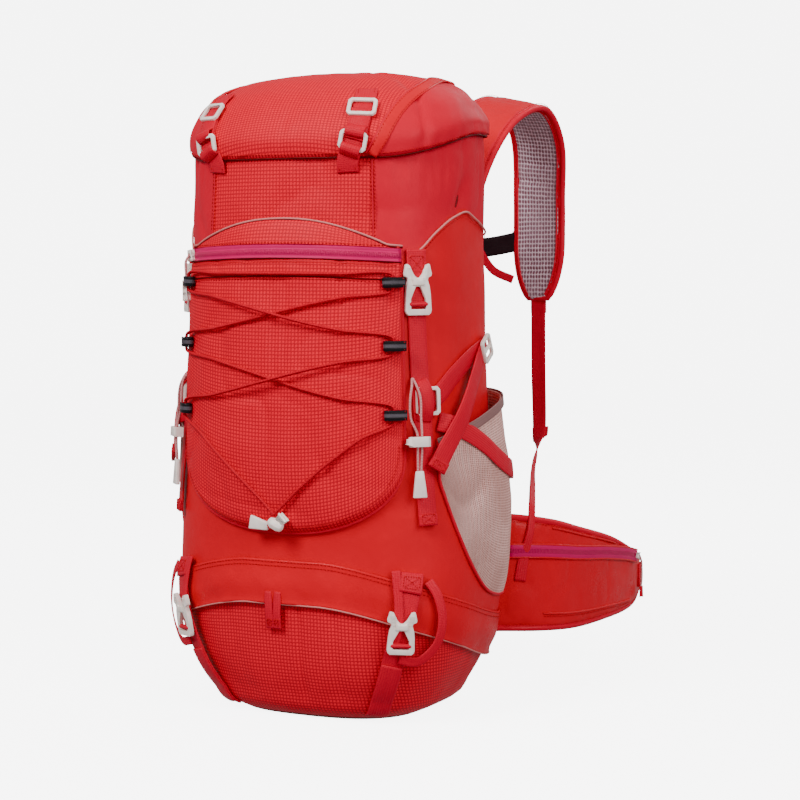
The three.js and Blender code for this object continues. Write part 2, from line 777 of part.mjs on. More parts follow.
function laceCordPath() {
  const faceLift = laceCord / 2 + laceLift;
  const start = { turn: 0.1, height: laceLockHeight + 3 };
  const points = [onPocket(start.turn, start.height, 4.6)];
  let from = start;
  const runTo = (to, over) => {
    [0.16, 0.32, 0.5, 0.68, 0.84].forEach((share) => {
      const hump = over * Math.sin(Math.PI * share) ** 2;
      points.push(onPocket(lerp(from.turn, to.turn, share), lerp(from.height, to.height, share), faceLift + hump));
    });
  };
  laceLegs.forEach(({ side, loop, way, over }) => {
    const height = laceHeights[loop];
    const seat = seatOn(onPocket, side * laceTurn, height, laceLoopHeight / 2);
    const inside = side * (laceTurn - 4);
    runTo({ turn: inside, height: height - way * lacePass }, over);
    [-1, 0, 1].forEach((share) => points.push(vector(-side * laceBend, way * share * lacePass, 0).applyMatrix4(seat)));
    from = { turn: inside, height: height + way * lacePass };
  });
  runTo({ turn: -start.turn, height: start.height }, 0);
  return [...points, onPocket(-start.turn, start.height, 4.6)];
}

function capsule(length, diameter, sides) {
  return new THREE.CapsuleGeometry(diameter / 2, length - diameter, 2, sides);
}

// A cord end: a flat tapered grip, wider at its foot
const cordEndThickness = 4;

function cordEnd(width, height) {
  const shape = new THREE.Shape([
    new THREE.Vector2(-width * 0.28, height / 2),
    new THREE.Vector2(-width / 2, -height / 2),
    new THREE.Vector2(width / 2, -height / 2),
    new THREE.Vector2(width * 0.28, height / 2),
  ]);
  return plate(shape, cordEndThickness);
}

// The straps on each side. Paths are rows of turn, height and lift for the right side, and the
// left side mirrors them.
const sideTurn = 59.5;
const sideStrapTop = 434;
const sideStrapEnd = 186;
const sideBuckleHeight = 398;
const sliderHeight = 298;
const sliderTurn = 62.5;
const rearTurn = 99;
const rearHeight = 341;

const compressionArm = [
  [sideTurn - 1.5, sliderHeight, 0],
  [sliderTurn + 2, sliderHeight + 1, 0],
  [76, 319, 0],
  [88, 334, 0],
  [rearTurn + 6, rearHeight + 5, 0],
];
const compressionTail = [
  [63.5, 236, 9.5],
  [67, 252, 11],
  [75, 281, 12],
  [86, 313, 8],
  [rearTurn, rearHeight, 2.6],
  [rearTurn + 4, rearHeight + 4, 0.8],
];
const lowerStrapRoute = [
  { turn: 67.5, height: sliderHeight - 19 },
  { turn: 72, height: sliderHeight - 23 },
  { turn: 78, height: sliderHeight - 31 },
  { turn: 86, height: sliderHeight - 44 },
  { turn: 94, height: sliderHeight - 58 },
  { turn: 102, height: sliderHeight - 68 },
  { turn: 112, height: sliderHeight - 74 },
  { turn: 122, height: sliderHeight - 76 },
];

function mirrored(path, side) {
  return path.map(([turn, height, lift]) => [side * turn, height, lift]);
}

const sideStrapPath = [
  [sideTurn, sideStrapTop, 0],
  [sideTurn, sideBuckleHeight, 0],
  [sideTurn + 0.5, 330, 0],
  [sideTurn + 1.5, 270, 1.2],
  [sideTurn + 1.5, 225, 1.6],
  [sideTurn + 2, sideStrapEnd, 2.4],
];

function sideStrap(side) {
  return cut(webbingOnBag(mirrored(sideStrapPath, side), webbingWidth, 12), bagBlock, pocketBlock);
}

function sideBuckle(side) {
  return setOn(sideReleaseBuckle(buckleHeight), onBag, side * sideTurn, sideBuckleHeight, webbingThickness + 0.7);
}

function sideSlider(side) {
  const slider = frame(buckleWidth * 0.86, 26, sliderBar);
  const lift = 2 * webbingThickness + gap + 0.4;
  return setOn(slider, onBag, side * sliderTurn, sliderHeight, lift);
}

// A solid around a strap, to keep a strap below clear of it
function strapBlock(stations, width) {
  const lowered = stations.map(({ middle, across, out }) => ({
    middle: middle.clone().addScaledVector(out, -gap),
    across,
    out,
  }));
  return toSolid(strap(lowered, width + 2 * gap, webbingThickness + 2 * gap));
}

function tailStations(side) {
  return surfaceStations(onBag, mirrored(compressionTail, side), 8);
}

function compressionStrap(side) {
  const arm = surfaceStations(onBag, mirrored(compressionArm, side), 8);
  const under = strapBlock(surfaceStations(onBag, mirrored(sideStrapPath, side), 12), webbingWidth);
  const armStrap = strap(arm, webbingWidth, webbingThickness * 2 + gap);
  const tailStrap = strap(tailStations(side), webbingWidth + 1, webbingThickness);
  return cut(join(armStrap, tailStrap), bagBlock, under);
}

function rearBuckle(side) {
  const lift = 2 * webbingThickness + 2.6;
  return setOn(frame(22, 24, sliderBar), onBag, side * (rearTurn + 1), rearHeight + 1, lift, side * 28);
}

// Over the mesh pocket the lower strap lies on the mesh
function lowerStrap(side) {
  const path = lowerStrapRoute.map(({ turn, height }) => {
    const overMesh = turn > meshFront && height < meshHigh(turn) + webbingWidth / 2;
    return [side * turn, height, overMesh ? meshLift(turn, height) : 0.2];
  });
  const under = strapBlock(tailStations(side), webbingWidth + 1);
  return cut(webbingOnBag(path, webbingWidth, 11), bagBlock, meshBlock[side], under);
}

// The loop that holds a pole's shaft: a thin cord with a lock and a pull below it. It rests on
// the side strap at its top and hangs clear of the compression strap below.
const poleTurn = 57;
const poleSpread = 1.7;
const poleLockTurn = 58;
const poleLockHeight = 262;
const poleLockLift = 13;
const poleLockWidth = 20;
const poleLockDiameter = 9;
const poleEndWidth = 13;
const poleEndLength = 24;
const poleRows = [
  { turn: 0.3, height: 236, lift: 11 },
  { turn: 0.4, height: 254, lift: 13 },
  { turn: 0.45, height: 269, lift: 13 },
  { turn: 1, height: 283, lift: 12 },
  { turn: 1, height: 301, lift: 11.2 },
  { turn: 0.5, height: 311.5, lift: 8.6 },
  { turn: 0, height: 318.5, lift: 3.1 },
];

function polePath(side) {
  const strand = (way) => poleRows.map((row) => {
    const middle = row.height > poleLockHeight + 10 ? poleTurn : poleLockTurn;
    return onBag(side * (middle + way * row.turn * poleSpread), row.height, row.lift);
  });
  return [...strand(1), ...strand(-1).reverse().slice(1)];
}

function poleLoop(side) {
  return tube(polePath(side), poleCord, 18, 6);
}

// The lock is a short barrel that both strands of the loop pass through
function poleLock(side) {
  const shape = framePath(new THREE.Shape(), poleLockWidth, poleLockDiameter, 3);
  shape.holes.push(framePath(new THREE.Path(), 9, poleCord + 2 * gap + 0.6, 0.8));
  const barrel = plate(shape, poleLockDiameter).translate(0, 0, -poleLockDiameter / 2).rotateX(Math.PI / 2);
  return setOn(barrel, onBag, side * poleLockTurn, poleLockHeight, poleLockLift);
}

function poleEnd(side) {
  const height = poleRows[0].height - gap - poleEndLength / 2;
  return setOn(cordEnd(poleEndWidth, poleEndLength), onBag, side * poleLockTurn, height, poleRows[0].lift - 2);
}

// The straps over the bottom compartment, each with its buckle and a loop of spare webbing
const bottomTurn = 56;
const bottomFootTurn = 48.5;
const bottomBuckleHeight = 92;
const bottomBuckleLength = 40;
const bottomLoopWidth = 9;
const bottomStrapRows = [
  { height: 143, turn: 0, lift: 0 },
  { height: 133, turn: 0.06, lift: 3.6 },
  { height: 114, turn: 0.25, lift: 6.8 },
  { height: 95, turn: 0.45, lift: 8 },
  { height: 70, turn: 0.65, lift: 7 },
  { height: 42, turn: 0.85, lift: 4 },
  { height: 18, turn: 0.95, lift: 1.2 },
  { height: 6, turn: 1, lift: 0 },
];
const bottomTailRows = [
  { height: 136, turn: 61.5, lift: 3.2 },
  { height: 124, turn: 64, lift: 7 },
  { height: 100, turn: 65.5, lift: 11 },
  { height: 78, turn: 63.5, lift: 12 },
  { height: 66, turn: 58, lift: 11.5 },
  { height: 68, turn: 52.5, lift: 9.5 },
];

function bottomStrap(side) {
  const path = bottomStrapRows.map((row) => [side * lerp(bottomTurn, bottomFootTurn, row.turn), row.height, row.lift]);
  const tail = bottomTailRows.map((row) => [side * row.turn, row.height, row.lift]);
  const main = webbingOnBag(path, wideWebbing, 12);
  const loop = webbingOnBag(tail, bottomLoopWidth, 12);
  return cut(join(main, loop), bagBlock, flapBlock);
}

function bottomBuckle(side) {
  const row = bottomStrapRows[3];
  const lift = row.lift + webbingThickness + 0.5;
  const turn = side * lerp(bottomTurn, bottomFootTurn, row.turn);
  return setOn(sideReleaseBuckle(bottomBuckleLength), onBag, turn, bottomBuckleHeight, lift);
}

// The two pulls of the bottom compartment's zip hang side by side over the flap's edge
const zipPullCentre = -9;
const zipPullHalfSpacing = 5;
const zipPullWidth = 8;
const zipPullLength = 29;
const zipPullThickness = 1.6;
const zipPullDrop = 11;

function bottomZipPull(side) {
  const tab = plate(framePath(new THREE.Shape(), zipPullWidth, zipPullLength, 2), zipPullThickness);
  const x = zipPullCentre + side * zipPullHalfSpacing;
  const turn = THREE.MathUtils.radToDeg(Math.atan2(x, bagFrontDepth));
  return setOn(tab, onBag, turn, seamHeight - flapWidth - zipPullDrop, flapWall + flapStandOff + 3 * gap);
}

// The harness

// Where the bag's back lies at a height
function backAt(height) {
  return bagPoint(180, height).y;
}

// A shoulder strap's middle line, and the way its outer face looks
function strapRows(side) {
  const x = (share) => side * strapHalfSpacing * share;
  const lean = side * 0.2;
  const onBack = (share, drop, lift) => [x(share), backAt(strapTop - drop) + strapThickness / 2 + lift, strapTop - drop];
  return [
    { at: onBack(0.8, 112, 0), face: [lean, -1, 0] },
    { at: onBack(0.81, 94, 0.5), face: [lean, -1, 0.2] },
    { at: [x(0.86), 136, strapTop - 46], face: [lean, -0.8, 0.8] },
    { at: [x(0.94), strapReach - 108, strapTop - 12], face: [lean, -0.5, 1] },
    { at: [x(1.02), strapReach - 52, strapTop - 2], face: [lean, 0.2, 1] },
    { at: [x(1.04), strapReach - 14, strapTop - 36], face: [lean, 1, 0.6] },
    { at: [x(1), strapReach, strapTop - 98], face: [lean, 1, 0] },
    { at: [x(1), strapReach, lerp(strapTop - 98, strapTip, 0.5)], face: [lean, 1, 0] },
    { at: [x(1), strapReach - 2, strapTip], face: [lean, 1, 0] },
  ];
}

function shoulderStrap(side) {
  const width = (row) => strapWidth * (row < 0.85 ? 1 : Math.sqrt(1 - ((row - 0.85) / 0.16) ** 2));
  const inner = freeStations(strapRows(side), 17).map(({ middle, across, out }) => ({
    middle: middle.clone().addScaledVector(out, -strapThickness / 2),
    across,
    out,
  }));
  return cut(strap(inner, width, strapThickness, 0.35), bagBlock, backPadBlock, lidBlock);
}

// The webbing below a shoulder strap hangs to its fold, then runs forward and over the hip
// belt's top edge to where it is sewn on near the belt's root
function shoulderWebbing(side) {
  const x = (value) => side * value;
  const rows = [
    { at: [x(strapHalfSpacing), strapReach - 2, strapTip - 0.5], face: [0, 1, 0] },
    { at: [x(strapHalfSpacing), strapReach, 310], face: [0, 1, 0] },
    { at: [x(strapHalfSpacing + 1), strapReach - 1, 240], face: [side * 0.2, 1, 0] },
    { at: [x(wingHalfSpacing - 71), strapReach - 56, 212], face: [side * 1, 0.5, 0.4] },
    { at: [x(wingHalfSpacing - 48), bagBackDepth + 58, 196], face: [side * 1, 0, 0.8] },
    { at: [x(wingHalfSpacing - 36), bagBackDepth + 29, 180], face: [side * 0.8, -0.5, 0.5] },
    { at: [x(wingHalfSpacing - 33), bagBackDepth + 19, 160], face: [side * 0.7, -0.7, 0.1] },
    { at: [x(wingHalfSpacing - 39), bagBackDepth + 14, 128], face: [side * 0.6, -0.8, 0] },
    { at: [x(wingHalfSpacing - 42), bagBackDepth + 13, 108], face: [side * 0.6, -0.8, 0] },
  ];
  const width = (row) => lerp(webbingWidth, 9, smoothstep(row, 0.38, 0.5)) + 4 * smoothstep(row, 0.85, 1);
  return cut(strap(freeStations(rows, 20), width, webbingThickness), bagBlock, wingBlock[side], meshBlock[side]);
}

const wingSweep = 0.27;
const wingSink = 2.2;

// The hip belt's padded half: it lies across the bag's back, sweeps out and narrows to its tip
function wingRows(side) {
  const x = (share) => side * wingHalfSpacing * share;
  const middle = (share) => wingFoot + lerp(wingRootHeight, wingTipHeight, share) / 2;
  const y = (share) => lerp(bagBackDepth - wingSink + wingThickness / 2, wingReach, share);
  return [
    { at: [side * gap, y(0), middle(0)], face: [0, -1, 0] },
    { at: [x(0.4), y(0), middle(0)], face: [side * 0.05, -1, 0] },
    { at: [x(0.66), y(0.02), middle(0) + 2], face: [side * 0.4, -0.9, 0] },
    { at: [x(0.85), y(0.12), middle(0.1) + 2], face: [side * 0.9, -0.5, 0] },
    { at: [x(0.94), y(0.28), middle(0.24)], face: [side * 1, -0.15, 0] },
    { at: [x(1), y(0.52), middle(0.45)], face: [side * 1, 0, 0] },
    { at: [x(1), y(0.78), middle(0.72)], face: [side * 1, 0.12, 0] },
    { at: [x(0.94), y(1), middle(1) + 6], face: [side * 1, 0.4, 0] },
  ];
}

function wingWidth(row) {
  const outward = clamp((row - wingSweep) / (1 - wingSweep), 0, 1);
  const tip = row < 0.92 ? 1 : Math.sqrt(1 - ((row - 0.92) / 0.09) ** 2);
  return lerp(wingRootHeight, wingTipHeight, outward ** 1.5) * lerp(0.6, 1, tip);
}

function wingSolid(side, grow) {
  const stations = freeStations(wingRows(side), 14).map(({ middle, across, out }) => ({
    middle: middle.clone().addScaledVector(out, -wingThickness / 2 - grow),
    across,
    out,
  }));
  return strap(stations, (row) => wingWidth(row) + 2 * grow, wingThickness + 2 * grow, 0.5);
}

const wingBlock = { 1: toSolid(wingSolid(1, gap)), '-1': toSolid(wingSolid(-1, gap)) };

function hipWing(side) {
  return cut(wingSolid(side, 0), bagBlock, backPadBlock, meshBlock[side]);
}

// Beyond the wing's tip the belt's webbing comes round to the plain buckle at the back
const waistBuckleWidth = 52;
const waistBuckleThickness = 6;

function waistStrap(side) {
  const height = wingFoot + wingTipHeight / 2 + 6;
  const tip = wingHalfSpacing * 0.94;
  const rows = [
    { at: [side * (tip - 0.6), wingReach + 0.6, height], face: [side * 1, 0.4, 0] },
    { at: [side * (tip - 26), wingReach + 32, height], face: [side * 0.8, 0.8, 0] },
    { at: [side * tip * 0.5, beltReach - 4, height], face: [side * 0.2, 1, 0] },
    { at: [side * (waistBuckleWidth / 2 + gap), beltReach, height], face: [0, 1, 0] },
  ];
  const width = (row) => lerp(24, beltWidth, smoothstep(row, 0, 0.25));
  return cut(strap(freeStations(rows, 10), width, webbingThickness + 0.5), wingBlock[side]);
}

function waistBuckle() {
  const shape = framePath(new THREE.Shape(), waistBuckleWidth, beltWidth + 8, 5);
  const height = wingFoot + wingTipHeight / 2 + 6;
  return plate(shape, waistBuckleThickness).rotateX(Math.PI / 2).translate(0, beltReach + 4, height);
}

// The chest strap sags a little between the shoulder straps, and its spare end hangs from it
const sternumHeight = 443;
const sternumOffset = 3;
const sternumSag = 7;
const sternumBuckleWidth = 30;
const sternumBuckleThickness = 5;
const sternumTailWidth = 9;

function shoulderBlock(side) {
  const stations = freeStations(strapRows(side), 17).map(({ middle, across, out }) => ({
    middle: middle.clone().addScaledVector(out, -strapThickness / 2 - gap),
    across,
    out,
  }));
  return toSolid(strap(stations, strapWidth + 2 * gap, strapThickness + 2 * gap, 0.3));
}

function sternumStrap() {
  const rows = [-1, -0.5, 0, 0.5, 1].map((share) => ({
    at: [share * (strapHalfSpacing - strapWidth / 2 + 4), strapReach + sternumOffset, sternumHeight - sternumSag * (1 - share ** 2)],
    face: [0, 1, 0],
  }));
  const tail = [
    { at: [sternumBuckleWidth * 0.6, strapReach + sternumOffset, sternumHeight - 10], face: [0, 1, 0.2] },
    { at: [34, strapReach + sternumOffset - 1, sternumHeight - 30], face: [0, 1, 0] },
    { at: [58, strapReach + sternumOffset - 4, sternumHeight - 40], face: [0, 1, 0] },
  ];
  const band = strap(freeStations(rows, 8), wideWebbing, webbingThickness);
  const end = strap(freeStations(tail, 5), sternumTailWidth, webbingThickness);
  return cut(join(band, end), shoulderBlock(1), shoulderBlock(-1));
}

function sternumBuckle() {
  const shape = framePath(new THREE.Shape(), sternumBuckleWidth, wideWebbing + 6, 3);
  const buckle = plate(shape, sternumBuckleThickness).rotateX(Math.PI / 2);
  return buckle.translate(0, strapReach + sternumOffset - gap, sternumHeight - sternumSag);
}

// The assembly

const backpack = new THREE.Group();

function add(name, geometry, material) {
  const mesh = new THREE.Mesh(geometry, material);
  mesh.name = name;
  backpack.add(mesh);
}

add('main_bag', mainBag(), fabrics.plain);
add('bottom_compartment', bottomCompartment(), fabrics.ripstop);
add('storm_flap', stormFlap(), fabrics.plain);
add('back_panel', backPanel(), fabrics.airMesh);
add('front_pocket', frontPocket(), fabrics.ripstop);
add('front_zip', frontZip(), fabrics.zip);
add('front_yoke', frontYoke(), fabrics.plain);
add('lid', lid(), fabrics.ripstop);

lidStraps.forEach((row) => {
  add(`lid_strap_${row.name}`, lidStrap(row), fabrics.webbing);
  add(`lid_slider_${row.name}`, lidHardware(row, lidSlider), fabrics.plastic);
  add(`lid_lock_${row.name}`, lidHardware(row, lidLock), fabrics.plastic);
});

laceHeights.forEach((height, i) => {
  add(`lace_loop_left_${i + 1}`, laceLoop(-1, height), fabrics.keeper);
  add(`lace_loop_right_${i + 1}`, laceLoop(1, height), fabrics.keeper);
});
add('lace_cord', tube(laceCordPath(), laceCord, 84, 5), fabrics.cord);
add('lace_lock', setOn(capsule(17, 11, 8).rotateZ(1.1), onPocket, 1, laceLockHeight - 6, 6.5), fabrics.plastic);
add('lace_end', setOn(cordEnd(13, 20).rotateZ(-1.75), onPocket, -9, laceLockHeight - 7, 1), fabrics.plastic);

[{ name: 'left', side: -1 }, { name: 'right', side: 1 }].forEach(({ name, side }) => {
  add(`side_strap_${name}`, sideStrap(side), fabrics.webbing);
  add(`side_buckle_${name}`, sideBuckle(side), fabrics.plastic);
  add(`side_slider_${name}`, sideSlider(side), fabrics.plastic);
  add(`compression_strap_${name}`, compressionStrap(side), fabrics.webbing);
  add(`rear_buckle_${name}`, rearBuckle(side), fabrics.plastic);
  add(`lower_strap_${name}`, lowerStrap(side), fabrics.webbing);
  add(`mesh_pocket_${name}`, meshPocket(side), fabrics.mesh);
  add(`pole_loop_${name}`, poleLoop(side), fabrics.paleCord);
  add(`pole_lock_${name}`, poleLock(side), fabrics.plastic);
  add(`pole_end_${name}`, poleEnd(side), fabrics.plastic);
  add(`bottom_strap_${name}`, bottomStrap(side), fabrics.webbing);
  add(`bottom_buckle_${name}`, bottomBuckle(side), fabrics.plastic);
  add(`bottom_zip_pull_${name}`, bottomZipPull(side), fabrics.webbing);
  add(`shoulder_strap_${name}`, shoulderStrap(side), fabrics.airMesh);
  add(`shoulder_webbing_${name}`, shoulderWebbing(side), fabrics.webbing);
  add(`hip_wing_${name}`, hipWing(side), fabrics.plain);
  add(`waist_strap_${name}`, waistStrap(side), fabrics.webbing);
});
add('waist_buckle', waistBuckle(), fabrics.plastic);
add('sternum_strap', sternumStrap(), fabrics.webbing);
add('sternum_buckle', sternumBuckle(), fabrics.plastic);

export default backpack;
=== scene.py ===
"""A hiking backpack of about 50 litres: its cloth, webbing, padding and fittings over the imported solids.

Millimetres in the tables and shapes, metres in the scene. +X is right of someone who looks at the
front, -Y the front, +Z up. A turn is an angle around the bag in degrees: 0 the front, 90 the right
side, 180 the back.
"""
import math

import bmesh
import bpy
import numpy as np
from bpy.props import FloatProperty, FloatVectorProperty, PointerProperty
from bpy.types import Operator, Panel, PropertyGroup
from mathutils import Matrix, Vector


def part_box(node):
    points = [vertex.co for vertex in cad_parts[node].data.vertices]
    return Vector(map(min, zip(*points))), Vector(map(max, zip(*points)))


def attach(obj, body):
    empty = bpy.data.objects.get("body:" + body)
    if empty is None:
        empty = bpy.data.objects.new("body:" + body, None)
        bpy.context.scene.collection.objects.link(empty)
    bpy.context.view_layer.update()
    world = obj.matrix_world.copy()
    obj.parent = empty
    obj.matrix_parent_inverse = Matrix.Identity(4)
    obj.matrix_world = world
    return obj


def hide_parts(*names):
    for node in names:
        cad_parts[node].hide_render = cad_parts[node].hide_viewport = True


bl_info = {
    "name": "Hiking Backpack",
    "version": (1, 0, 0),
    "blender": (4, 5, 0),
    "location": "3D Viewport > Sidebar > Backpack",
    "description": "Builds the cloth, webbing, padding and fittings of a hiking backpack",
    "category": "Object",
}

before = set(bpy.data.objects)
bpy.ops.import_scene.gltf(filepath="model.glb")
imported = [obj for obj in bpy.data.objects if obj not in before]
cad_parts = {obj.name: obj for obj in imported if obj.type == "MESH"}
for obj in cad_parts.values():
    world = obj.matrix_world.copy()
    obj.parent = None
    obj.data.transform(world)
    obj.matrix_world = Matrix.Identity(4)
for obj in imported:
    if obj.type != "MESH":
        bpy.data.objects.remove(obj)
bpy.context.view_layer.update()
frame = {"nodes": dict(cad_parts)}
MM = 0.001

# Driving sizes of the bag, as in the solids
TOP = 600
HALF_WIDTH, FRONT_DEPTH, BACK_DEPTH = 151, 107, 118
FRONT_POWER, BACK_POWER = 2.6, 3.2
HEM, HEM_RISE, NECK_HEIGHT = 517, 24, 46
SEAM, SEAM_DROP = 149, 62
LID_HALF_WIDTH, LID_FRONT, LID_BACK, LID_LEAN = 141, 101, 100, 18
SHOULDER = 0.91
GAP = 0.3

# Sections of the bag: height as a share of the hem's, then width, front and back as shares
BAG = np.array([
    (0.0, 0.583, 0.64, 0.8), (0.014, 0.689, 0.75, 0.87), (0.05, 0.795, 0.84, 0.94),
    (0.087, 0.874, 0.9, 0.975), (0.126, 0.927, 0.935, 0.992), (0.174, 0.974, 0.963, 1.0),
    (0.232, 1.0, 0.981, 0.992), (0.31, 1.0, 0.991, 0.958), (0.406, 0.98, 1.0, 0.907),
    (0.503, 0.947, 1.0, 0.856), (0.62, 0.921, 0.991, 0.822), (0.774, 0.907, 0.972, 0.805),
    (0.851, 0.901, 0.944, 0.805), (0.91, 0.907, 0.925, 0.814), (1.0, 0.9, 0.9, 0.81),
])
# The gathered neck under the lid: rise as a share of its height, then width, front and back
NECK = np.array([
    (0.0, 0.9, 0.9, 0.81), (0.15, 0.86, 0.85, 0.77), (0.6, 0.75, 0.7, 0.64), (1.0, 0.42, 0.4, 0.36),
])
# The lid: rise as a share of its height, then width, depth and lean
LID = np.array([
    (0.0, 0.99, 0.99, 0.0), (0.22, 1.0, 1.0, 0.02), (0.42, 0.955, 0.95, 0.12),
    (0.62, 0.885, 0.87, 0.32), (0.78, 0.775, 0.75, 0.55), (0.91, 0.6, 0.57, 0.8), (1.0, 0.3, 0.28, 1.0),
])

# Driving sizes of the pockets, webbing and harness
POCKET_TURN, POCKET_BASE, POCKET_TOP, POCKET_DROP, POCKET_CORNER = 54, 177, 461, 30, 80
POCKET_WALL, POCKET_RIM, POCKET_CROWN = 2, 4.5, 9
ZIP_HEIGHT, ZIP_WIDTH = 424.5, 13
FLAP_WIDTH, FLAP_TURN = 38, 119
MESH_WALL, MESH_DEPTH, MESH_MOUTH, MESH_MOUTH_DROP, MESH_FOOT, MESH_FOOT_RISE = 1.6, 19, 300, 38, 108, 118
MESH_FRONT, MESH_BACK = 67, 126
WEB, WIDE_WEB, BELT, WEB_THICK = 18, 21, 38, 1.5
STRAP_WIDTH, STRAP_THICK, STRAP_TOP, STRAP_REACH, STRAP_TIP, STRAP_HALF = 64, 9, 584, 288, 380, 88
WING_REACH, WING_HALF, WING_THICK, WING_ROOT, WING_TIP, WING_FOOT, WING_SINK = 384, 176, 10, 118, 44, 55, 2.2
BELT_REACH = 446
THREAD = 0.42
STRAP_STITCH = {"pitch": 2.4, "stitch": 1.7}
SIDES = ((-1, "left"), (1, "right"))


# Numbers

def smoothstep(x, low, high):
    share = np.clip((x - low) / (high - low), 0, 1)
    return share * share * (3 - 2 * share)


def bell(away, width):
    return np.exp(-(away / width) ** 2)


def lerp(a, b, share):
    return a + (b - a) * share


def unit(v):
    return v / np.maximum(np.linalg.norm(v, axis=-1, keepdims=True), 1e-9)


def along(rows, column, key):
    """A table's column at a key of its first column, on a smooth line through the rows."""
    x, y = rows[:, 0], rows[:, column]
    slope = np.gradient(y, x)
    i = np.clip(np.searchsorted(x, key, side="right") - 1, 0, len(x) - 2)
    step = x[i + 1] - x[i]
    t = np.clip((key - x[i]) / step, 0, 1)
    bend = t * t * (3 - 2 * t)
    rise = step * (slope[i] * t * (1 - t) ** 2 - slope[i + 1] * t * t * (1 - t))
    return lerp(y[i], y[i + 1], bend) + rise


def noise(p, size, seed=0):
    """Smooth noise from -1 to 1 over points, with bumps of about the given size."""
    q = np.asarray(p, float) / size + seed * 17.31
    cell = np.floor(q)
    f = q - cell
    f = f * f * (3 - 2 * f)
    total = 0
    for corner in np.ndindex(2, 2, 2):
        c = cell + corner
        value = np.sin(c[..., 0] * 127.1 + c[..., 1] * 311.7 + c[..., 2] * 74.7) * 43758.5453
        weight = np.prod(np.where(np.array(corner) == 1, f, 1 - f), axis=-1)
        total = total + weight * (value - np.floor(value))
    return total * 2 - 1


def creases(p, size, seed=0):
    """Sharp folds: 0 in the open, up to 1 along thin lines."""
    return np.clip(1 - 3.2 * np.abs(noise(p, size, seed)), 0, 1) ** 1.5


# The bag's surfaces

def from_front(turn):
    return np.abs((turn + 540) % 360 - 180)


def hem_at(turn):
    return HEM + HEM_RISE * smoothstep(from_front(turn), 45, 100)


def seam_at(turn):
    return SEAM - SEAM_DROP * smoothstep(from_front(turn), 18, 122)


def oval(turn, width, front, back):
    angle = np.radians(turn)
    ahead = np.cos(angle) >= 0
    power = np.where(ahead, FRONT_POWER, BACK_POWER)
    across = np.abs(np.sin(angle)) / width
    deep = np.abs(np.cos(angle)) / np.where(ahead, front, back)
    return (across ** power + deep ** power) ** (-1 / power)


def around(turn, radius, height, shift=0.0):
    angle = np.radians(turn)
    parts = np.broadcast_arrays(radius * np.sin(angle), shift - radius * np.cos(angle), height)
    return np.stack([np.asarray(part, float) for part in parts], -1)


def bag_surface(turn, height):
    hem = hem_at(turn)
    shoulder = SHOULDER * HEM
    key = np.where(height > shoulder, lerp(SHOULDER, 1, (height - shoulder) / (hem - shoulder)), height / HEM)
    rise = (height - hem) / NECK_HEIGHT
    width, front, back = (
        scale * np.where(height > hem, along(NECK, column, rise), along(BAG, column, key))
        for column, scale in ((1, HALF_WIDTH), (2, FRONT_DEPTH), (3, BACK_DEPTH))
    )
    return around(turn, oval(turn, width, front, back), height)


def lid_surface(turn, rise):
    share = np.clip(rise, 0, 1)
    depth = along(LID, 2, share)
    radius = oval(turn, LID_HALF_WIDTH * along(LID, 1, share), LID_FRONT * depth, LID_BACK * depth)
    return around(turn, radius, lerp(hem_at(turn) - 1, TOP, rise), LID_LEAN * along(LID, 3, share))


def lifted(surface, turn, height, lift, step):
    turn, height = np.asarray(turn, float), np.asarray(height, float)
    sideways = surface(turn + 0.8, height) - surface(turn - 0.8, height)
    upwards = surface(turn, height + step) - surface(turn, height - step)
    out = unit(np.cross(sideways, upwards))
    return surface(turn, height) + out * np.asarray(lift, float)[..., None]


def bag_relief(turn, height):
    """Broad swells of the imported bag, in millimetres."""
    spot = around(turn, 120.0, height)
    return 1.4 * noise(spot, 85, 1) + 0.7 * noise(spot, 38, 2)


def on_bag(turn, height, lift=0.0):
    turn, height = np.asarray(turn, float), np.asarray(height, float)
    low = smoothstep(height, 0, 40)
    return lifted(bag_surface, turn, height, bag_relief(turn, height) * low + lift, 0.8)


def on_lid(turn, rise, lift=0.0):
    turn, rise = np.asarray(turn, float), np.clip(np.asarray(rise, float), 0, 0.98)
    return lifted(lid_surface, turn, rise, lift, 0.02)


def pocket_low(turn):
    share = np.minimum(np.abs(turn) / POCKET_TURN, 1)
    return POCKET_BASE + POCKET_CORNER * (1 - (1 - share ** 2.5) ** 0.4)


def zip_low(turn):
    return ZIP_HEIGHT - 3 * (turn / POCKET_TURN) ** 2


def pocket_high(turn):
    top = POCKET_TOP - POCKET_DROP * (np.abs(turn) / POCKET_TURN) ** 2.4
    return np.maximum(top, zip_low(turn) + ZIP_WIDTH + 2)


def pocket_lift(turn, height):
    side = np.clip(1 - np.abs(turn) / POCKET_TURN, 0, 1)
    foot = np.clip((height - pocket_low(turn)) / POCKET_CORNER, 0, 1)
    head = np.clip((pocket_high(turn) - height) / POCKET_CORNER, 0, 1)
    edge = np.minimum(np.minimum(side * 40, foot * 14), 1)
    crown = np.sqrt(np.minimum(side * 1.6, 1)) * np.sqrt(foot) * np.sqrt(np.minimum(head * 2, 1))
    return POCKET_WALL + GAP + POCKET_RIM * edge + POCKET_CROWN * crown


def on_pocket(turn, height, lift=0.0):
    return on_bag(turn, height, pocket_lift(turn, height) + lift)


def mesh_share(turn):
    return np.clip((np.abs(turn) - MESH_FRONT) / (MESH_BACK - MESH_FRONT), 0, 1)


def mesh_low(turn):
    return MESH_FOOT + MESH_FOOT_RISE * (1 - mesh_share(turn)) ** 4


def mesh_high(turn):
    return MESH_MOUTH - MESH_MOUTH_DROP * (1 - mesh_share(turn)) ** 1.6


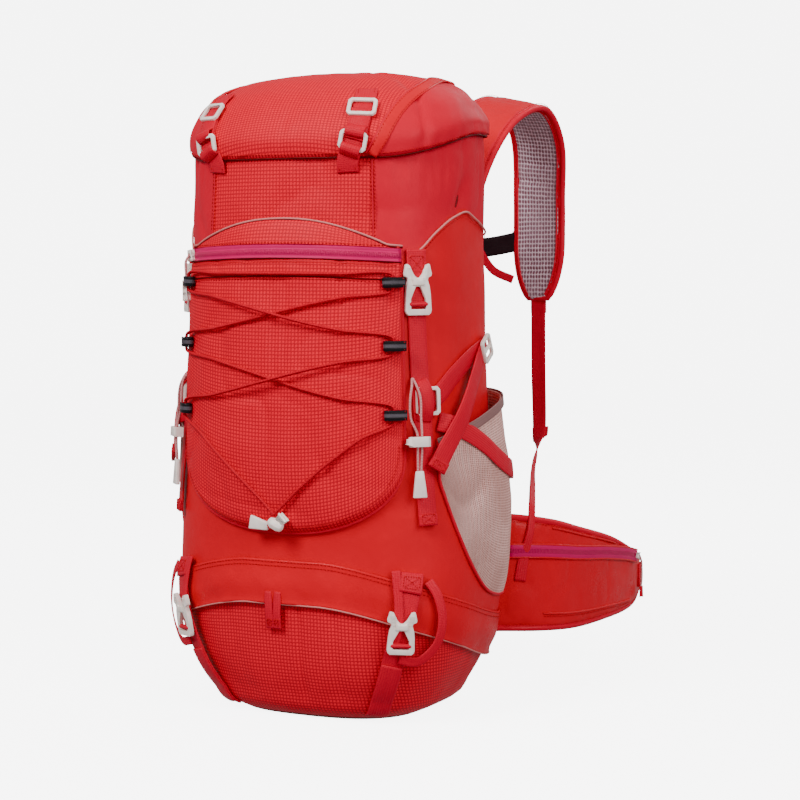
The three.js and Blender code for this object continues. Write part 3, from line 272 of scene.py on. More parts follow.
def mesh_lift(turn, height):
    upward = np.clip((height - mesh_low(turn)) / (mesh_high(turn) - mesh_low(turn)), 0, 1)
    swell = np.sin(np.pi * mesh_share(turn)) ** 0.75 * np.sin(np.pi * np.minimum(upward * 0.62, 0.5)) ** 0.8
    return MESH_WALL + GAP + MESH_DEPTH * swell * (1 - 0.25 * upward ** 2)


# Meshes

def put(name, data):
    piece = bpy.data.objects.new(name, data)
    bpy.context.scene.collection.objects.link(piece)
    return piece


def mesh_piece(name, points, faces, uv, finishes, node=None, zone=None, sharp=None):
    """A piece from points in millimetres. finishes is one name or several, and zone says which for each face."""
    mesh = bpy.data.meshes.new(name)
    mesh.from_pydata((np.asarray(points) * MM).tolist(), [], [list(map(int, face)) for face in faces])
    if uv is not None:
        corner = np.empty(len(mesh.loops), int)
        mesh.loops.foreach_get("vertex_index", corner)
        mesh.uv_layers.new(name="cloth").data.foreach_set("uv", np.asarray(uv)[corner].ravel())
    for finish in [finishes] if isinstance(finishes, str) else finishes:
        mesh.materials.append(finish_of(finish))
    if zone is not None:
        mesh.polygons.foreach_set("material_index", np.asarray(zone, int))
    mesh.polygons.foreach_set("use_smooth", np.ones(len(mesh.polygons), bool))
    if sharp:
        mesh.set_sharp_from_angle(angle=math.radians(sharp))
    mesh.update()
    piece = put(name, mesh)
    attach(piece, "root")
    if node:
        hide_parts(node)
    return piece


def grid_faces(rows, columns, start=0, flip=False):
    index = start + np.arange(rows * columns).reshape(rows, columns)
    faces = np.stack([index[:-1, :-1], index[:-1, 1:], index[1:, 1:], index[1:, :-1]], -1).reshape(-1, 4)
    return faces[:, ::-1] if flip else faces


def skin(name, grid, uv, finishes, node=None, zone=None):
    """A smooth skin through a grid of points whose columns go round to the right."""
    faces = grid_faces(*grid.shape[:2])
    return mesh_piece(name, grid.reshape(-1, 3), faces, uv.reshape(-1, 2), finishes, node, zone)


def layered(name, outer, inner, uv, finish, node=None):
    """A sheet with two faces, joined round its edge."""
    rows, columns = outer.shape[:2]
    count = rows * columns
    index = np.arange(count).reshape(rows, columns)
    edge = np.concatenate([index[0, :], index[1:, -1], index[-1, -2::-1], index[-2:0:-1, 0]])
    after = np.roll(edge, -1)
    rim = np.stack([edge, edge + count, after + count, after], -1)
    faces = np.concatenate([grid_faces(rows, columns), grid_faces(rows, columns, count, True), rim])
    points = np.concatenate([outer.reshape(-1, 3), inner.reshape(-1, 3)])
    return mesh_piece(name, points, faces, np.tile(uv.reshape(-1, 2), (2, 1)), finish, node)


def surface_uv(grid):
    """Lengths along the cloth in millimetres, measured from the middle column and the foot."""
    across = np.linalg.norm(np.diff(grid, axis=1), axis=-1)
    u = np.concatenate([np.zeros((len(grid), 1)), np.cumsum(across, axis=1)], 1)
    u = u - u[:, [grid.shape[1] // 2]]
    up = np.linalg.norm(np.diff(grid, axis=0), axis=-1)
    v = np.concatenate([np.zeros((1, grid.shape[1])), np.cumsum(up, axis=0)])
    middle = v[:, [grid.shape[1] // 2]]
    return np.stack([u, np.broadcast_to(middle, u.shape)], -1)


# Lines, webbing and cords

def catmull(points, t):
    """A centripetal spline through rows of numbers, at shares t of its rows."""
    points = np.asarray(points, float)
    count = len(points) - 1
    place = np.clip(np.asarray(t, float), 0, 1) * count
    i = np.minimum(place.astype(int), count - 1)
    w = (place - i)[:, None]
    padded = np.concatenate([[2 * points[0] - points[1]], points, [2 * points[-1] - points[-2]]])
    p = [padded[i + k] for k in range(4)]
    gaps = [np.maximum(np.sum((p[k + 1] - p[k]) ** 2, -1, keepdims=True) ** 0.25, 1e-4) for k in range(3)]
    middle = gaps[1]
    start = ((p[1] - p[0]) / gaps[0] - (p[2] - p[0]) / (gaps[0] + middle) + (p[2] - p[1]) / middle) * middle
    end = ((p[2] - p[1]) / middle - (p[3] - p[1]) / (middle + gaps[2]) + (p[3] - p[2]) / gaps[2]) * middle
    a, b = 2 * w ** 3 - 3 * w ** 2 + 1, 3 * w ** 2 - 2 * w ** 3
    return p[1] * a + p[2] * b + start * (w ** 3 - 2 * w ** 2 + w) + end * (w ** 3 - w ** 2)


def spline(points, count):
    return catmull(points, np.linspace(0, 1, count))


def lengths(points):
    return np.concatenate([[0], np.cumsum(np.linalg.norm(np.diff(points, axis=0), axis=-1))])


def even_shares(points, pitch):
    """Shares at which a finely sampled line is cut into equal lengths of about the pitch."""
    length = lengths(points)
    count = max(4, round(length[-1] / pitch) + 1)
    return np.interp(np.linspace(0, length[-1], count), length, np.linspace(0, 1, len(points)))


class Line:
    """Stations along a strap: middle, the way across it and the way out of it."""

    def __init__(self, middle, out):
        self.middle = middle
        ahead = unit(np.gradient(middle, axis=0))
        self.across = unit(np.cross(ahead, out))
        self.out = unit(np.cross(self.across, ahead))
        self.ahead = ahead
        self.length = lengths(middle)
        self.share = self.length / self.length[-1]

    def part(self, low, high):
        keep = (self.share >= low) & (self.share <= high)
        return Line(self.middle[keep], self.out[keep])

    def moved(self, across, out):
        across, out = (np.broadcast_to(value, self.share.shape)[:, None] for value in (across, out))
        return Line(self.middle + self.across * across + self.out * out, self.out)


def surface_line(on, path, pitch=3.0):
    path = np.array(path, float)
    fine = spline(path, 300)
    shares = even_shares(on(*fine.T), pitch)
    turn, height, lift = catmull(path, shares).T
    middle = on(turn, height, lift)
    return Line(middle, unit(on(turn, height, lift + 1) - middle))


def bag_line(path, pitch=3.0):
    return surface_line(on_bag, path, pitch)


def free_line(rows, pitch=3.0):
    at, face = (np.array([row[k] for row in rows], float) for k in (0, 1))
    shares = even_shares(spline(at, 400), pitch)
    return Line(catmull(at, shares), unit(catmull(face, shares)))


WEB_SECTION = np.array([
    (-1, 0.5), (-0.985, 0.15), (-0.93, 0), (-0.5, 0), (0, 0), (0.5, 0), (0.93, 0), (0.985, 0.15),
    (1, 0.5), (0.985, 0.85), (0.93, 1), (0.5, 1), (0, 1), (-0.5, 1), (-0.93, 1), (-0.985, 0.85),
])


def ring_faces(rows, columns):
    """The faces of a closed tube of rings, with its two ends."""
    index = np.arange(rows * columns).reshape(rows, columns)
    after = np.roll(index, -1, axis=1)
    sides = np.stack([index[:-1], after[:-1], after[1:], index[1:]], -1).reshape(-1, 4)
    return [*sides.tolist(), index[0, ::-1].tolist(), index[-1].tolist()]


def sweep(name, line, width, thick, finish, node=None, cup=0.0, turned=False):
    """A strap along a line, its inner face on it. cup bends it across its width, and turned lays
    the cloth's first direction along it."""
    width, thick, cup = (np.broadcast_to(value, line.share.shape)[:, None] for value in (width, thick, cup))
    across, rise = WEB_SECTION[:, 0][None], WEB_SECTION[:, 1][None]
    x = across * width / 2
    z = rise * thick - cup * across ** 2
    grid = line.middle[:, None] + line.across[:, None] * x[..., None] + line.out[:, None] * z[..., None]
    uv = np.stack([x, np.broadcast_to(line.length[:, None], x.shape)], -1)
    uv = uv[..., ::-1] if turned else uv
    faces = [face[::-1] for face in ring_faces(*x.shape)]
    return mesh_piece(name, grid.reshape(-1, 3), faces, uv.reshape(-1, 2), finish, node)


def web(name, line, width, thick=WEB_THICK, node=None, cup=0.0):
    return sweep(name, line, width, thick, "webbing", node, cup)


def frames_along(path):
    ahead = unit(np.gradient(path, axis=0))
    side = np.cross(ahead[0], [0, 0, 1.0])
    side = unit(side if np.linalg.norm(side) > 0.1 else np.cross(ahead[0], [1.0, 0, 0]))
    sides = [side]
    for k in range(1, len(path)):
        side = sides[-1] - ahead[k] * np.dot(sides[-1], ahead[k])
        sides.append(unit(side))
    sides = np.array(sides)
    return ahead, sides, np.cross(ahead, sides)


def tube(name, path, radius, finish, node=None, sides=10):
    """A cord along points, rounded off at its ends."""
    path = np.asarray(path, float)
    radius = np.broadcast_to(radius, len(path)).astype(float)
    ahead, side, up = frames_along(path)
    start = path[:1] - ahead[:1] * radius[0] * np.array([[1.0], [0.6]])
    end = path[-1:] + ahead[-1:] * radius[-1] * np.array([[0.6], [1.0]])
    path = np.concatenate([start, path, end])
    side, up = (np.concatenate([v[:1], v[:1], v, v[-1:], v[-1:]]) for v in (side, up))
    radius = np.concatenate([[radius[0] * 0.05, radius[0] * 0.8], radius, [radius[-1] * 0.8, radius[-1] * 0.05]])
    angle = np.linspace(0, 2 * np.pi, sides + 1)
    ring = side[:, None] * np.cos(angle)[None, :, None] + up[:, None] * np.sin(angle)[None, :, None]
    grid = path[:, None] + ring * radius[:, None, None]
    uv = np.stack(np.broadcast_arrays(angle[None] * 1.0, lengths(path)[:, None]), -1)
    return skin(name, grid, uv, finish, node)


def stitches(name, rows, slot, pitch=3.4, stitch=2.3):
    """Sewn thread along rows, each a Line or its points and outward directions."""
    points, faces = [], []
    spot = np.array([(-0.5, 0), (-0.25, 1), (0.25, 1), (0.5, 0)])
    for row in rows:
        path, out = (row.middle, row.out) if isinstance(row, Line) else row
        length = lengths(path)
        for k in range(int(length[-1] // pitch)):
            at = (k + 0.5) * pitch
            here = np.array([np.interp(at + o * stitch, length, path[:, a]) for o in spot[:, 0] for a in range(3)])
            here = here.reshape(4, 3)
            up = unit(np.array([np.interp(at, length, out[:, a]) for a in range(3)]))
            side = unit(np.cross(here[3] - here[0], up))
            base = len(points)
            for place, (_, swell) in zip(here, spot):
                for turn in (0, 90, 180, 270):
                    a = math.radians(turn + 45)
                    r = THREAD * (0.35 + 0.65 * swell)
                    points.append(place + side * math.cos(a) * r + up * (math.sin(a) * r + THREAD * 0.2 * swell))
            for ring in range(3):
                for s in range(4):
                    a, b = base + ring * 4 + s, base + ring * 4 + (s + 1) % 4
                    faces.append((a, b, b + 4, a + 4))
            faces.append((base + 3, base + 2, base + 1, base))
            faces.append((base + 12, base + 13, base + 14, base + 15))
    return mesh_piece(name, np.array(points), faces, None, "thread")


# Materials

def colour(red, green, blue):
    """A colour stated as screen values from 0 to 255."""
    linear = [(c / 255 / 12.92) if c <= 10 else ((c / 255 + 0.055) / 1.055) ** 2.4 for c in (red, green, blue)]
    return (*linear, 1.0)


def set_sockets(shader, values):
    for socket, value in values.items():
        shader.inputs[socket].default_value = value


class Shade:
    """A material's node tree, with short calls for the nodes that the cloths share."""

    def __init__(self, name, base, rough, sheen=0.0, specular=0.12):
        self.material = bpy.data.materials.new(name)
        self.material.use_nodes = True
        self.tree = self.material.node_tree
        self.shader = self.tree.nodes["Principled BSDF"]
        self.base = base
        self.colour = None
        self.rough = rough
        self.bumps = []
        set_sockets(self.shader, {
            "Base Color": base, "Roughness": rough, "Specular IOR Level": specular,
            "Sheen Weight": sheen, "Sheen Roughness": 0.4, "Sheen Tint": base,
        })

    def node(self, kind, inputs=None, **settings):
        node = self.tree.nodes.new(kind)
        for key, value in settings.items():
            setattr(node, key, value)
        for socket, value in (inputs or {}).items():
            self.feed(node.inputs[socket], value)
        return node

    def feed(self, socket, value):
        if isinstance(value, bpy.types.NodeSocket):
            self.tree.links.new(value, socket)
        else:
            socket.default_value = value

    def math(self, kind, a, b=0.0, clamp=False):
        return self.node("ShaderNodeMath", {0: a, 1: b}, operation=kind, use_clamp=clamp).outputs[0]

    def uv(self):
        if not hasattr(self, "_uv"):
            split = self.node("ShaderNodeSeparateXYZ", {0: self.node("ShaderNodeUVMap", uv_map="cloth").outputs[0]})
            self._uv = split.outputs[0], split.outputs[1]
        return self._uv

    def place(self):
        if not hasattr(self, "_place"):
            self._place = self.node("ShaderNodeTexCoord").outputs["Object"]
        return self._place

    def ramp(self, value, low, high, first=0.0, last=1.0, **settings):
        return self.node("ShaderNodeMapRange", {0: value, 1: low, 2: high, 3: first, 4: last}, **settings).outputs[0]

    def wave(self, coordinate, pitch):
        """A wave from 0 to 1 with the given pitch in millimetres."""
        sine = self.math("SINE", self.math("MULTIPLY", coordinate, 2 * math.pi / pitch))
        return self.math("ADD", self.math("MULTIPLY", sine, 0.5), 0.5)

    def lines(self, coordinate, pitch, width):
        """Thin lines of the given width, one every pitch."""
        there = self.math("PINGPONG", coordinate, pitch / 2)
        return self.ramp(there, width * 0.35, width * 0.65, 1.0, 0.0, interpolation_type="SMOOTHSTEP")

    def clouds(self, size, detail=3.0, low=0.35, high=0.65):
        scale = 1 / (size * MM)
        noise_node = self.node("ShaderNodeTexNoise", {"Vector": self.place(), "Scale": scale, "Detail": detail})
        return self.ramp(noise_node.outputs[0], low, high)

    def tint(self, factor, to, amount=1.0):
        """Blends the colour towards another where the factor is high."""
        mix = self.node("ShaderNodeMix", data_type="RGBA")
        self.feed(mix.inputs[0], self.math("MULTIPLY", factor, amount, clamp=True))
        self.feed(mix.inputs[6], self.colour or self.base)
        mix.inputs[7].default_value = to
        self.colour = mix.outputs[2]

    def bump(self, height, depth, strength=1.0):
        """depth is the relief's height in millimetres."""
        self.bumps.append((height, depth, strength))

    def vary_rough(self, factor, amount):
        value = self.math("ADD", self.math("MULTIPLY", factor, amount), self.rough - amount / 2)
        self.feed(self.shader.inputs["Roughness"], value)

    def finish(self):
        if self.colour is not None:
            self.feed(self.shader.inputs["Base Color"], self.colour)
        normal = None
        for height, depth, strength in self.bumps:
            node = self.node("ShaderNodeBump", {"Height": height, "Strength": strength, "Distance": depth * MM})
            if normal is not None:
                self.feed(node.inputs["Normal"], normal)
            normal = node.outputs[0]
        if normal is not None:
            self.feed(self.shader.inputs["Normal"], normal)
        return self.material


def darker(base, share):
    return (base[0] * share, base[1] * share, base[2] * share, 1.0)


# The dyes of the cloth and fittings. The settings may change the first four before a build.
DYES = {
    "ripstop": colour(250, 0, 44), "panel": colour(218, 0, 30), "webbing": colour(218, 0, 44),
    "fittings": colour(255, 240, 232), "lining": colour(110, 0, 6), "zip": colour(206, 0, 92),
    "piping": colour(216, 124, 122),
}
_materials = {}


def worn(shade, base):
    """Faint blotches and rubbed patches, and slight changes of sheen."""
    shade.tint(shade.clouds(60, 4.0), darker(base, 0.8), 0.35)
    shade.tint(shade.clouds(17, 3.0, 0.55, 0.8), darker(base, 1.18), 0.3)
    shade.vary_rough(shade.clouds(24, 3.0), 0.12)


def weave(shade, pitch, depth):
    u, v = shade.uv()
    pattern = shade.math("MULTIPLY", shade.wave(u, pitch), shade.wave(v, pitch))
    shade.bump(pattern, depth, 0.6)


def make_ripstop():
    shade = Shade("ripstop nylon", DYES["ripstop"], 0.5)
    worn(shade, DYES["ripstop"])
    u, v = shade.uv()
    grid = shade.math("MAXIMUM", shade.lines(u, 3.4, 1.3), shade.lines(v, 3.4, 1.3))
    shade.tint(grid, darker(DYES["ripstop"], 0.4), 0.8)
    cell = shade.math("MULTIPLY", shade.wave(u, 3.4), shade.wave(v, 3.4))
    shade.tint(cell, colour(255, 14, 50), 0.4)
    shade.bump(grid, 0.15, 0.5)
    weave(shade, 0.85, 0.08)
    return shade.finish()


def make_nylon(name, dye, rough, depth=1.0):
    base = darker(DYES[dye], depth)
    shade = Shade(name, base, rough)
    worn(shade, base)
    weave(shade, 0.7, 0.07)
    shade.bump(shade.clouds(9, 4.0, 0.3, 0.7), 0.5, 0.25)
    return shade.finish()


def make_webbing(name="webbing", base=None, painted_highlight=None):
    base = base or DYES["webbing"]
    shade = Shade(name, base, 0.42)
    u, v = shade.uv()
    ribs = shade.math("MULTIPLY", shade.wave(v, 1.5), shade.wave(u, 2.2))
    shade.tint(shade.wave(v, 1.5), darker(base, 0.62), 0.3)
    shade.tint(shade.lines(shade.math("ADD", u, 1.1), 2.2, 0.7), darker(base, 0.6), 0.35)
    # Where given, a paler band runs down the strap's middle. It is a painted highlight, not a stripe in the weave.
    if painted_highlight:
        there = shade.math("LESS_THAN", shade.math("ABSOLUTE", u), 1.6)
        shade.tint(there, painted_highlight, 0.85)
    shade.tint(shade.clouds(26), darker(base, 0.78), 0.4)
    shade.bump(ribs, 0.25, 0.8)
    shade.vary_rough(shade.clouds(12), 0.14)
    return shade.finish()


def make_zip():
    shade = Shade("zip tape", DYES["zip"], 0.42)
    u, v = shade.uv()
    there = shade.math("LESS_THAN", shade.math("ABSOLUTE", v), 2.2)
    teeth = shade.math("MULTIPLY", shade.wave(u, 1.6), there)
    shade.tint(there, colour(150, 0, 48), 0.55)
    shade.tint(teeth, colour(226, 50, 110), 0.4)
    shade.tint(shade.clouds(30), darker(DYES["zip"], 0.8), 0.4)
    shade.bump(teeth, 0.6, 0.8)
    weave(shade, 1.0, 0.08)
    return shade.finish()


def make_cord(name, base, accent):
    shade = Shade(name, base, 0.6, sheen=0.3)
    u, v = shade.uv()
    one = shade.math("ADD", shade.math("MULTIPLY", u, 2.0), shade.math("MULTIPLY", v, 2.4))
    two = shade.math("SUBTRACT", shade.math("MULTIPLY", u, 2.0), shade.math("MULTIPLY", v, 2.4))
    braid = shade.math("MAXIMUM", shade.math("SINE", one), shade.math("SINE", two))
    shade.tint(braid, accent, 0.4)
    shade.bump(braid, 0.3, 0.8)
    return shade.finish()


def make_plastic():
    shade = Shade("moulded plastic", DYES["fittings"], 0.34, specular=0.5)
    shade.tint(shade.clouds(9, 3.0), colour(226, 204, 198), 0.35)
    shade.bump(shade.clouds(0.7, 2.0), 0.03, 0.5)
    shade.vary_rough(shade.clouds(5), 0.16)
    set_sockets(shade.shader, {"Subsurface Weight": 0.12, "Subsurface Radius": (0.004, 0.002, 0.0015)})
    return shade.finish()


def holes(shade, pitch, low, high, squash=1.0):
    """Rounded holes set in staggered rows, 1 in the hole and 0 on the threads."""
    u, v = shade.uv()
    u, v = shade.math("MULTIPLY", u, 1 / pitch), shade.math("MULTIPLY", v, squash / pitch)
    at = shade.node("ShaderNodeCombineXYZ", {0: u, 1: v}).outputs[0]
    cells = shade.node(
        "ShaderNodeTexVoronoi", {"Vector": at, "Scale": 1.0, "Randomness": 0.12}, voronoi_dimensions="2D"
    )
    return shade.ramp(cells.outputs["Distance"], low, high, 1.0, 0.0)


def make_mesh():
    base = colour(255, 200, 190)
    shade = Shade("stretch mesh", base, 0.75, sheen=0.2)
    hole = holes(shade, 2.5, 0.24, 0.48)
    # The holes are tinted dark. Part of that is the red bag seen through them, and part is painted shade.
    shade.tint(hole, colour(136, 62, 56), 0.7)
    u, _ = shade.uv()
    shade.tint(shade.lines(u, 7.5, 1.6), colour(222, 192, 184), 0.4)
    shade.tint(shade.clouds(40), colour(170, 110, 100), 0.45)
    shade.bump(shade.math("SUBTRACT", 1.0, hole), 0.5, 0.8)
    return shade.finish()


def make_air_mesh():
    base = colour(255, 226, 236)
    shade = Shade("spacer mesh", base, 0.8, sheen=0.2)
    hole = holes(shade, 3.7, 0.3, 0.56, 0.8)
    # The holes are tinted dark as painted shade in the pits of the spacer mesh.
    shade.tint(hole, colour(120, 64, 80), 0.9)
    shade.tint(shade.clouds(36), colour(196, 160, 170), 0.4)
    shade.bump(shade.math("SUBTRACT", 1.0, hole), 1.2, 1.0)
    return shade.finish()


MAKERS = {
    "ripstop": (make_ripstop,),
    "plain": (make_nylon, "plain nylon", "panel", 0.42),
    "upper": (make_nylon, "upper nylon", "webbing", 0.5, 0.94),
    "glossy": (make_nylon, "coated nylon", "panel", 0.32),
    "lining": (make_nylon, "lining", "lining", 0.6),
    # The seam tape is near black-red. Part of that is the tape's own dark colour, and part is painted shade along
    # seams, creases and under the lid's hem.
    "seam": (make_nylon, "seam tape", "lining", 0.5, 0.8),
    "piping": (make_nylon, "piping", "piping", 0.45),
    "red piping": (make_nylon, "red piping", "webbing", 0.4),
    "webbing": (make_webbing,),
    # The keepers are black, and the grey band down their middle is a painted highlight.
    "keeper": (make_webbing, "keeper webbing", colour(22, 16, 20), colour(96, 88, 96)),
    # Near-black webbing for the chest strap. Part of that is a dark strap, and part is painted shade where it lies
    # unlit between the shoulder straps.
    "black webbing": (make_webbing, "black webbing", colour(34, 14, 20)),
    "zip": (make_zip,),
    "mesh hem": (make_webbing, "mesh hem", colour(150, 108, 106)),
    "cord": (make_cord, "braided cord", colour(205, 0, 34), colour(140, 0, 20)),
    "pale cord": (make_cord, "pale cord", colour(222, 150, 150), colour(170, 96, 100)),
    "thread": (make_cord, "sewing thread", colour(190, 0, 18), colour(130, 0, 10)),
    "plastic": (make_plastic,),
    "mesh": (make_mesh,),
    "air mesh": (make_air_mesh,),
}


def finish_of(name):
    if name not in _materials:
        maker, *values = MAKERS[name]
        _materials[name] = maker(*values)
    return _materials[name]


# The bag

def go_round(columns):
    return np.linspace(-180, 180, columns + 1)


def neighbour_zone(zone):
    """A material for each face of a grid from one for each of its points."""
    return np.asarray(zone, int)[:-1, :-1].ravel()


def bag_wrinkles(turn, height, depth):
    """Small folds pressed into the cloth, never standing out of it."""
    spot = around(turn, 130.0, height)
    upper = smoothstep(height, 395, 470)
    gather = smoothstep(height, 470, 512) * smoothstep(from_front(turn), 20, 60)
    slanted = spot * [1, 1, 0.55] + np.stack([spot[..., 2] * 0.3, 0 * turn, 0 * turn], -1)
    folds = creases(slanted, 46, 3) * 1.6 * upper + creases(spot * [1, 1, 0.3], 17, 4) * 1.3 * gather
    side = smoothstep(from_front(turn), 58, 75) * smoothstep(height, 130, 200)
    folds = folds + creases(spot * [1, 1, 0.5], 60, 5) * 1.2 * side
    tuck = np.exp(-((from_front(turn) - 86) / 5) ** 2 - ((height - 480 - (from_front(turn) - 86) * 2.2) / 15) ** 2)
    return -depth * folds - 5.0 * tuck * (turn > 0)


def build_main_bag(depth):
    turns = go_round(300)
    offsets = np.linspace(0, 1, 112)
    rows = [lerp(seam_at(turns) + 0.2, hem_at(turns), share) for share in offsets]
    rows += [hem_at(turns) + rise * NECK_HEIGHT for rise in (0.08, 0.16, 0.3, 0.45, 0.6, 0.8, 1.0)]
    height = np.array(rows)
    turn = np.broadcast_to(turns, height.shape)
    rise = np.clip((height - hem_at(turn)) / NECK_HEIGHT, 0, 1)
    pleats = 2.2 * np.sin(np.radians(turn) * 34 + 2 * noise(around(turn, 60.0, 0 * height), 30, 6)) * rise
    outer = on_bag(turn, height, bag_wrinkles(turn, height, depth) * (1 - rise) + pleats - 0.3)
    seam, hem = seam_at(turns), hem_at(turns)
    inner_height = np.array([height[-1], hem, lerp(seam, hem, 0.5), seam + 0.2])
    depths = np.array([[-2.6], [-6.0], [-9.0], [-2.6]])
    inner = on_bag(np.broadcast_to(turns, inner_height.shape), inner_height, depths)
    grid = np.concatenate([outer, inner])
    uv = surface_uv(grid)
    front = (np.abs(turn) < 43.5) & (height > 420) & (rise < 0.02)
    side = (np.abs(turn) >= 43.5) & (height > side_piping_height(turn))
    zone = np.zeros(grid.shape[:2], int)
    zone[: len(height)][side] = 1
    zone[: len(height)][front] = 2
    zone[len(height) - 6:] = 3
    finishes = ("plain", "upper", "ripstop", "lining")
    return skin("bag_body", grid, uv, finishes, "main_bag", neighbour_zone(zone))


SIDE_PIPING = np.array([
    (58.5, 428), (62.7, 436), (69, 450), (78, 463), (88, 468.5), (96, 463), (110, 452), (125, 446),
])


def side_piping_height(turn):
    return np.interp(from_front(turn), SIDE_PIPING[:, 0], SIDE_PIPING[:, 1])


def build_bottom(depth):
    turns = go_round(300)
    rows = [turns * 0 + h for h in (0, 1.2, 3, 5.2, 8, 12, 17, 23, 30, 38, 47, 57, 67)]
    rows += [lerp(67.0, seam_at(turns) - 0.2, share) for share in np.linspace(0.06, 1, 24)]
    height = np.array(rows)
    turn = np.broadcast_to(turns, height.shape)
    spot = around(turn, 120.0, height)
    low = smoothstep(height, 4, 30)
    level = creases(spot * [1, 1, 2.2], 24, 8) * 0.8 * (1 - smoothstep(height, 10, 60))
    pressed = creases(spot * [1, 1, 0.45], 40, 7) * 1.5 + level
    outer = on_bag(turn, height, -depth * pressed * low)
    outer[:4, :, 2] = np.maximum(outer[:4, :, 2], 0.05)
    foot = [around(turns, np.linalg.norm(outer[0, :, :2], axis=-1) * share, 0.6) for share in (0.02, 0.5, 0.94)]
    lining = ((seam_at(turns) - 0.2, -2.6), (turns * 0 + 60, -2.8), (turns * 0 + 14, -3.5))
    inside = [on_bag(turns, *row) for row in lining]
    grid = np.concatenate([np.array(foot), outer, np.array(inside)])
    uv = surface_uv(grid)
    zone = np.zeros(grid.shape[:2], int)
    zone[:5] = 1
    zone[-3:] = 1
    back = from_front(np.broadcast_to(turns, grid.shape[:2])) > 128
    zone[back] = 2
    finishes = ("ripstop", "lining", "plain")
    return skin("bottom_body", grid, uv, finishes, "bottom_compartment", neighbour_zone(zone))


def build_flap():
    turns = np.linspace(-FLAP_TURN, FLAP_TURN, 230)
    shares = np.linspace(0, 1, 26)
    turn, share = np.meshgrid(turns, shares)
    drop = lerp(FLAP_WIDTH, -2.0, share)
    height = seam_at(turn) - drop
    spot = around(turn, 120.0, height)
    slack = 1 - smoothstep(share, 0.35, 1)
    wave = 0.9 * noise(spot * [1, 1, 0.4], 34, 9) + 0.5 * noise(spot, 14, 10)
    lift = 1.0 + 1.2 * slack + wave * slack + 0.7 * bell(share - 0.5, 0.3) + 0.8 * bell(share, 0.06)
    outer = on_bag(turn, height, lift + 1.5)
    inner = on_bag(turn, height, np.maximum(lift, 0.5))
    flap = layered("storm_flap_cloth", outer, inner, surface_uv(outer), "glossy", "storm_flap")

    def level(drop, lift):
        return bag_line([(t, seam_at(t) - drop, lift) for t in np.linspace(-FLAP_TURN, FLAP_TURN, 40)])
    tube("flap_piping", level(FLAP_WIDTH + 0.3, 4.4).middle, 0.7, "piping")
    stitches("flap_stitches", [level(-0.5, 3.2), level(3.2, 3.4)], "plain_fabric")


def build_bag_seams():
    """Raised seams and piping: the front panel's sides, the lower side panels and the seam ring."""
    rows = []
    for side, name in SIDES:
        line = bag_line([(side * t, h, 0.9) for t, h in SIDE_PIPING], 2.5)
        tube(f"side_piping_{name}", line.middle, 1.0, "piping")
        front = bag_line([(side * 43.5, h, 0.2) for h in np.linspace(436, 522, 10)], 2.5)
        tube(f"front_seam_{name}", front.middle, 0.75, "upper")
        back = bag_line([(side * 128, h, 0.3) for h in np.linspace(60, 530, 30)], 4.0)
        tube(f"back_piping_{name}", back.middle, 1.6, "red piping")
        front = bag_line([(side * 43.5, h, 0.25) for h in np.linspace(452, 515, 10)], 2.5)
        rows += [front.moved(-1.9, 0), front.moved(1.9, 0)]
        rows.append(bag_line([(side * t, h - 4.2, 0.3) for t, h in SIDE_PIPING], 2.5))
    stitches("bag_stitches", rows, "plain_fabric")
    ring = np.linspace(-180, 180, 120)
    seam = bag_line([(t, seam_at(t), 0.2) for t in ring], 4.0)
    # The seam ring's tube is near black as painted shade in the crease under the storm flap's puffed top.
    tube("bottom_seam_and_shade", seam.middle, 0.8, "seam")


# The lid

BAND = [(43, 0.02), (45, 0.12), (48.5, 0.3), (54, 0.5), (62, 0.66), (76, 0.79), (94, 0.86), (116, 0.85)]


def build_lid(depth):
    turns = go_round(280)
    rises = np.concatenate([np.linspace(0, 0.9, 78), [0.93, 0.96, 0.98]])
    turn, rise = np.meshgrid(turns, rises)
    spot = around(turn, 110.0, rise * 85)
    hem = 1 - smoothstep(rise, 0, 0.24)
    flank = smoothstep(from_front(turn), 52, 66)
    gathers = np.sin(np.radians(turn) * 46 + 3.0 * noise(spot, 42, 11)) * hem * flank * 0.55
    slack = creases(spot * [1, 1, 0.45], 42, 12) * (0.5 + 2.2 * flank) * smoothstep(rise, 0.02, 0.2)
    swell = 1.3 * noise(spot, 60, 13) + 1.0 * noise(spot, 26, 14) * flank
    hem_roll = -2.2 * bell(rise, 0.03)
    outer = on_lid(turn, rise, swell * smoothstep(rise, 0, 0.2) - depth * slack + gathers + hem_roll)
    crown = np.array([0, LID_LEAN, outer[-1, :, 2].mean() + 0.25])
    cap = [lerp(outer[-1], crown, share) for share in (0.35, 0.7, 0.999)]
    inside = [on_lid(turns, 0 * turns + r, -lift) for r, lift in ((0.62, 3.4), (0.25, 3.2), (0.0, 2.8))]
    grid = np.concatenate([np.array(inside), outer, np.array(cap)])
    uv = surface_uv(grid)
    band = np.interp(from_front(turn), [row[0] for row in BAND], [row[1] for row in BAND], left=-1)
    panel = (from_front(turn) > 43.5) & (rise < band)
    zone = np.zeros(grid.shape[:2], int)
    zone[3: 3 + len(rises)][panel] = 1
    zone[:3] = 2
    # The check runs straight over the top instead of round it
    flat = np.ones(grid.shape[:2])
    flat[: 3 + len(rises)] = smoothstep(np.concatenate([np.zeros(3), rises]), 0.55, 0.9)[:, None]
    straight = np.stack([lerp(uv[..., 0], grid[..., 0], flat), grid[..., 1] + grid[..., 2]], -1)
    uv = np.where(zone[..., None] == 0, straight, uv)
    finishes = ("ripstop", "upper", "lining")
    return skin("lid_cloth", grid, uv, finishes, "lid", neighbour_zone(zone))


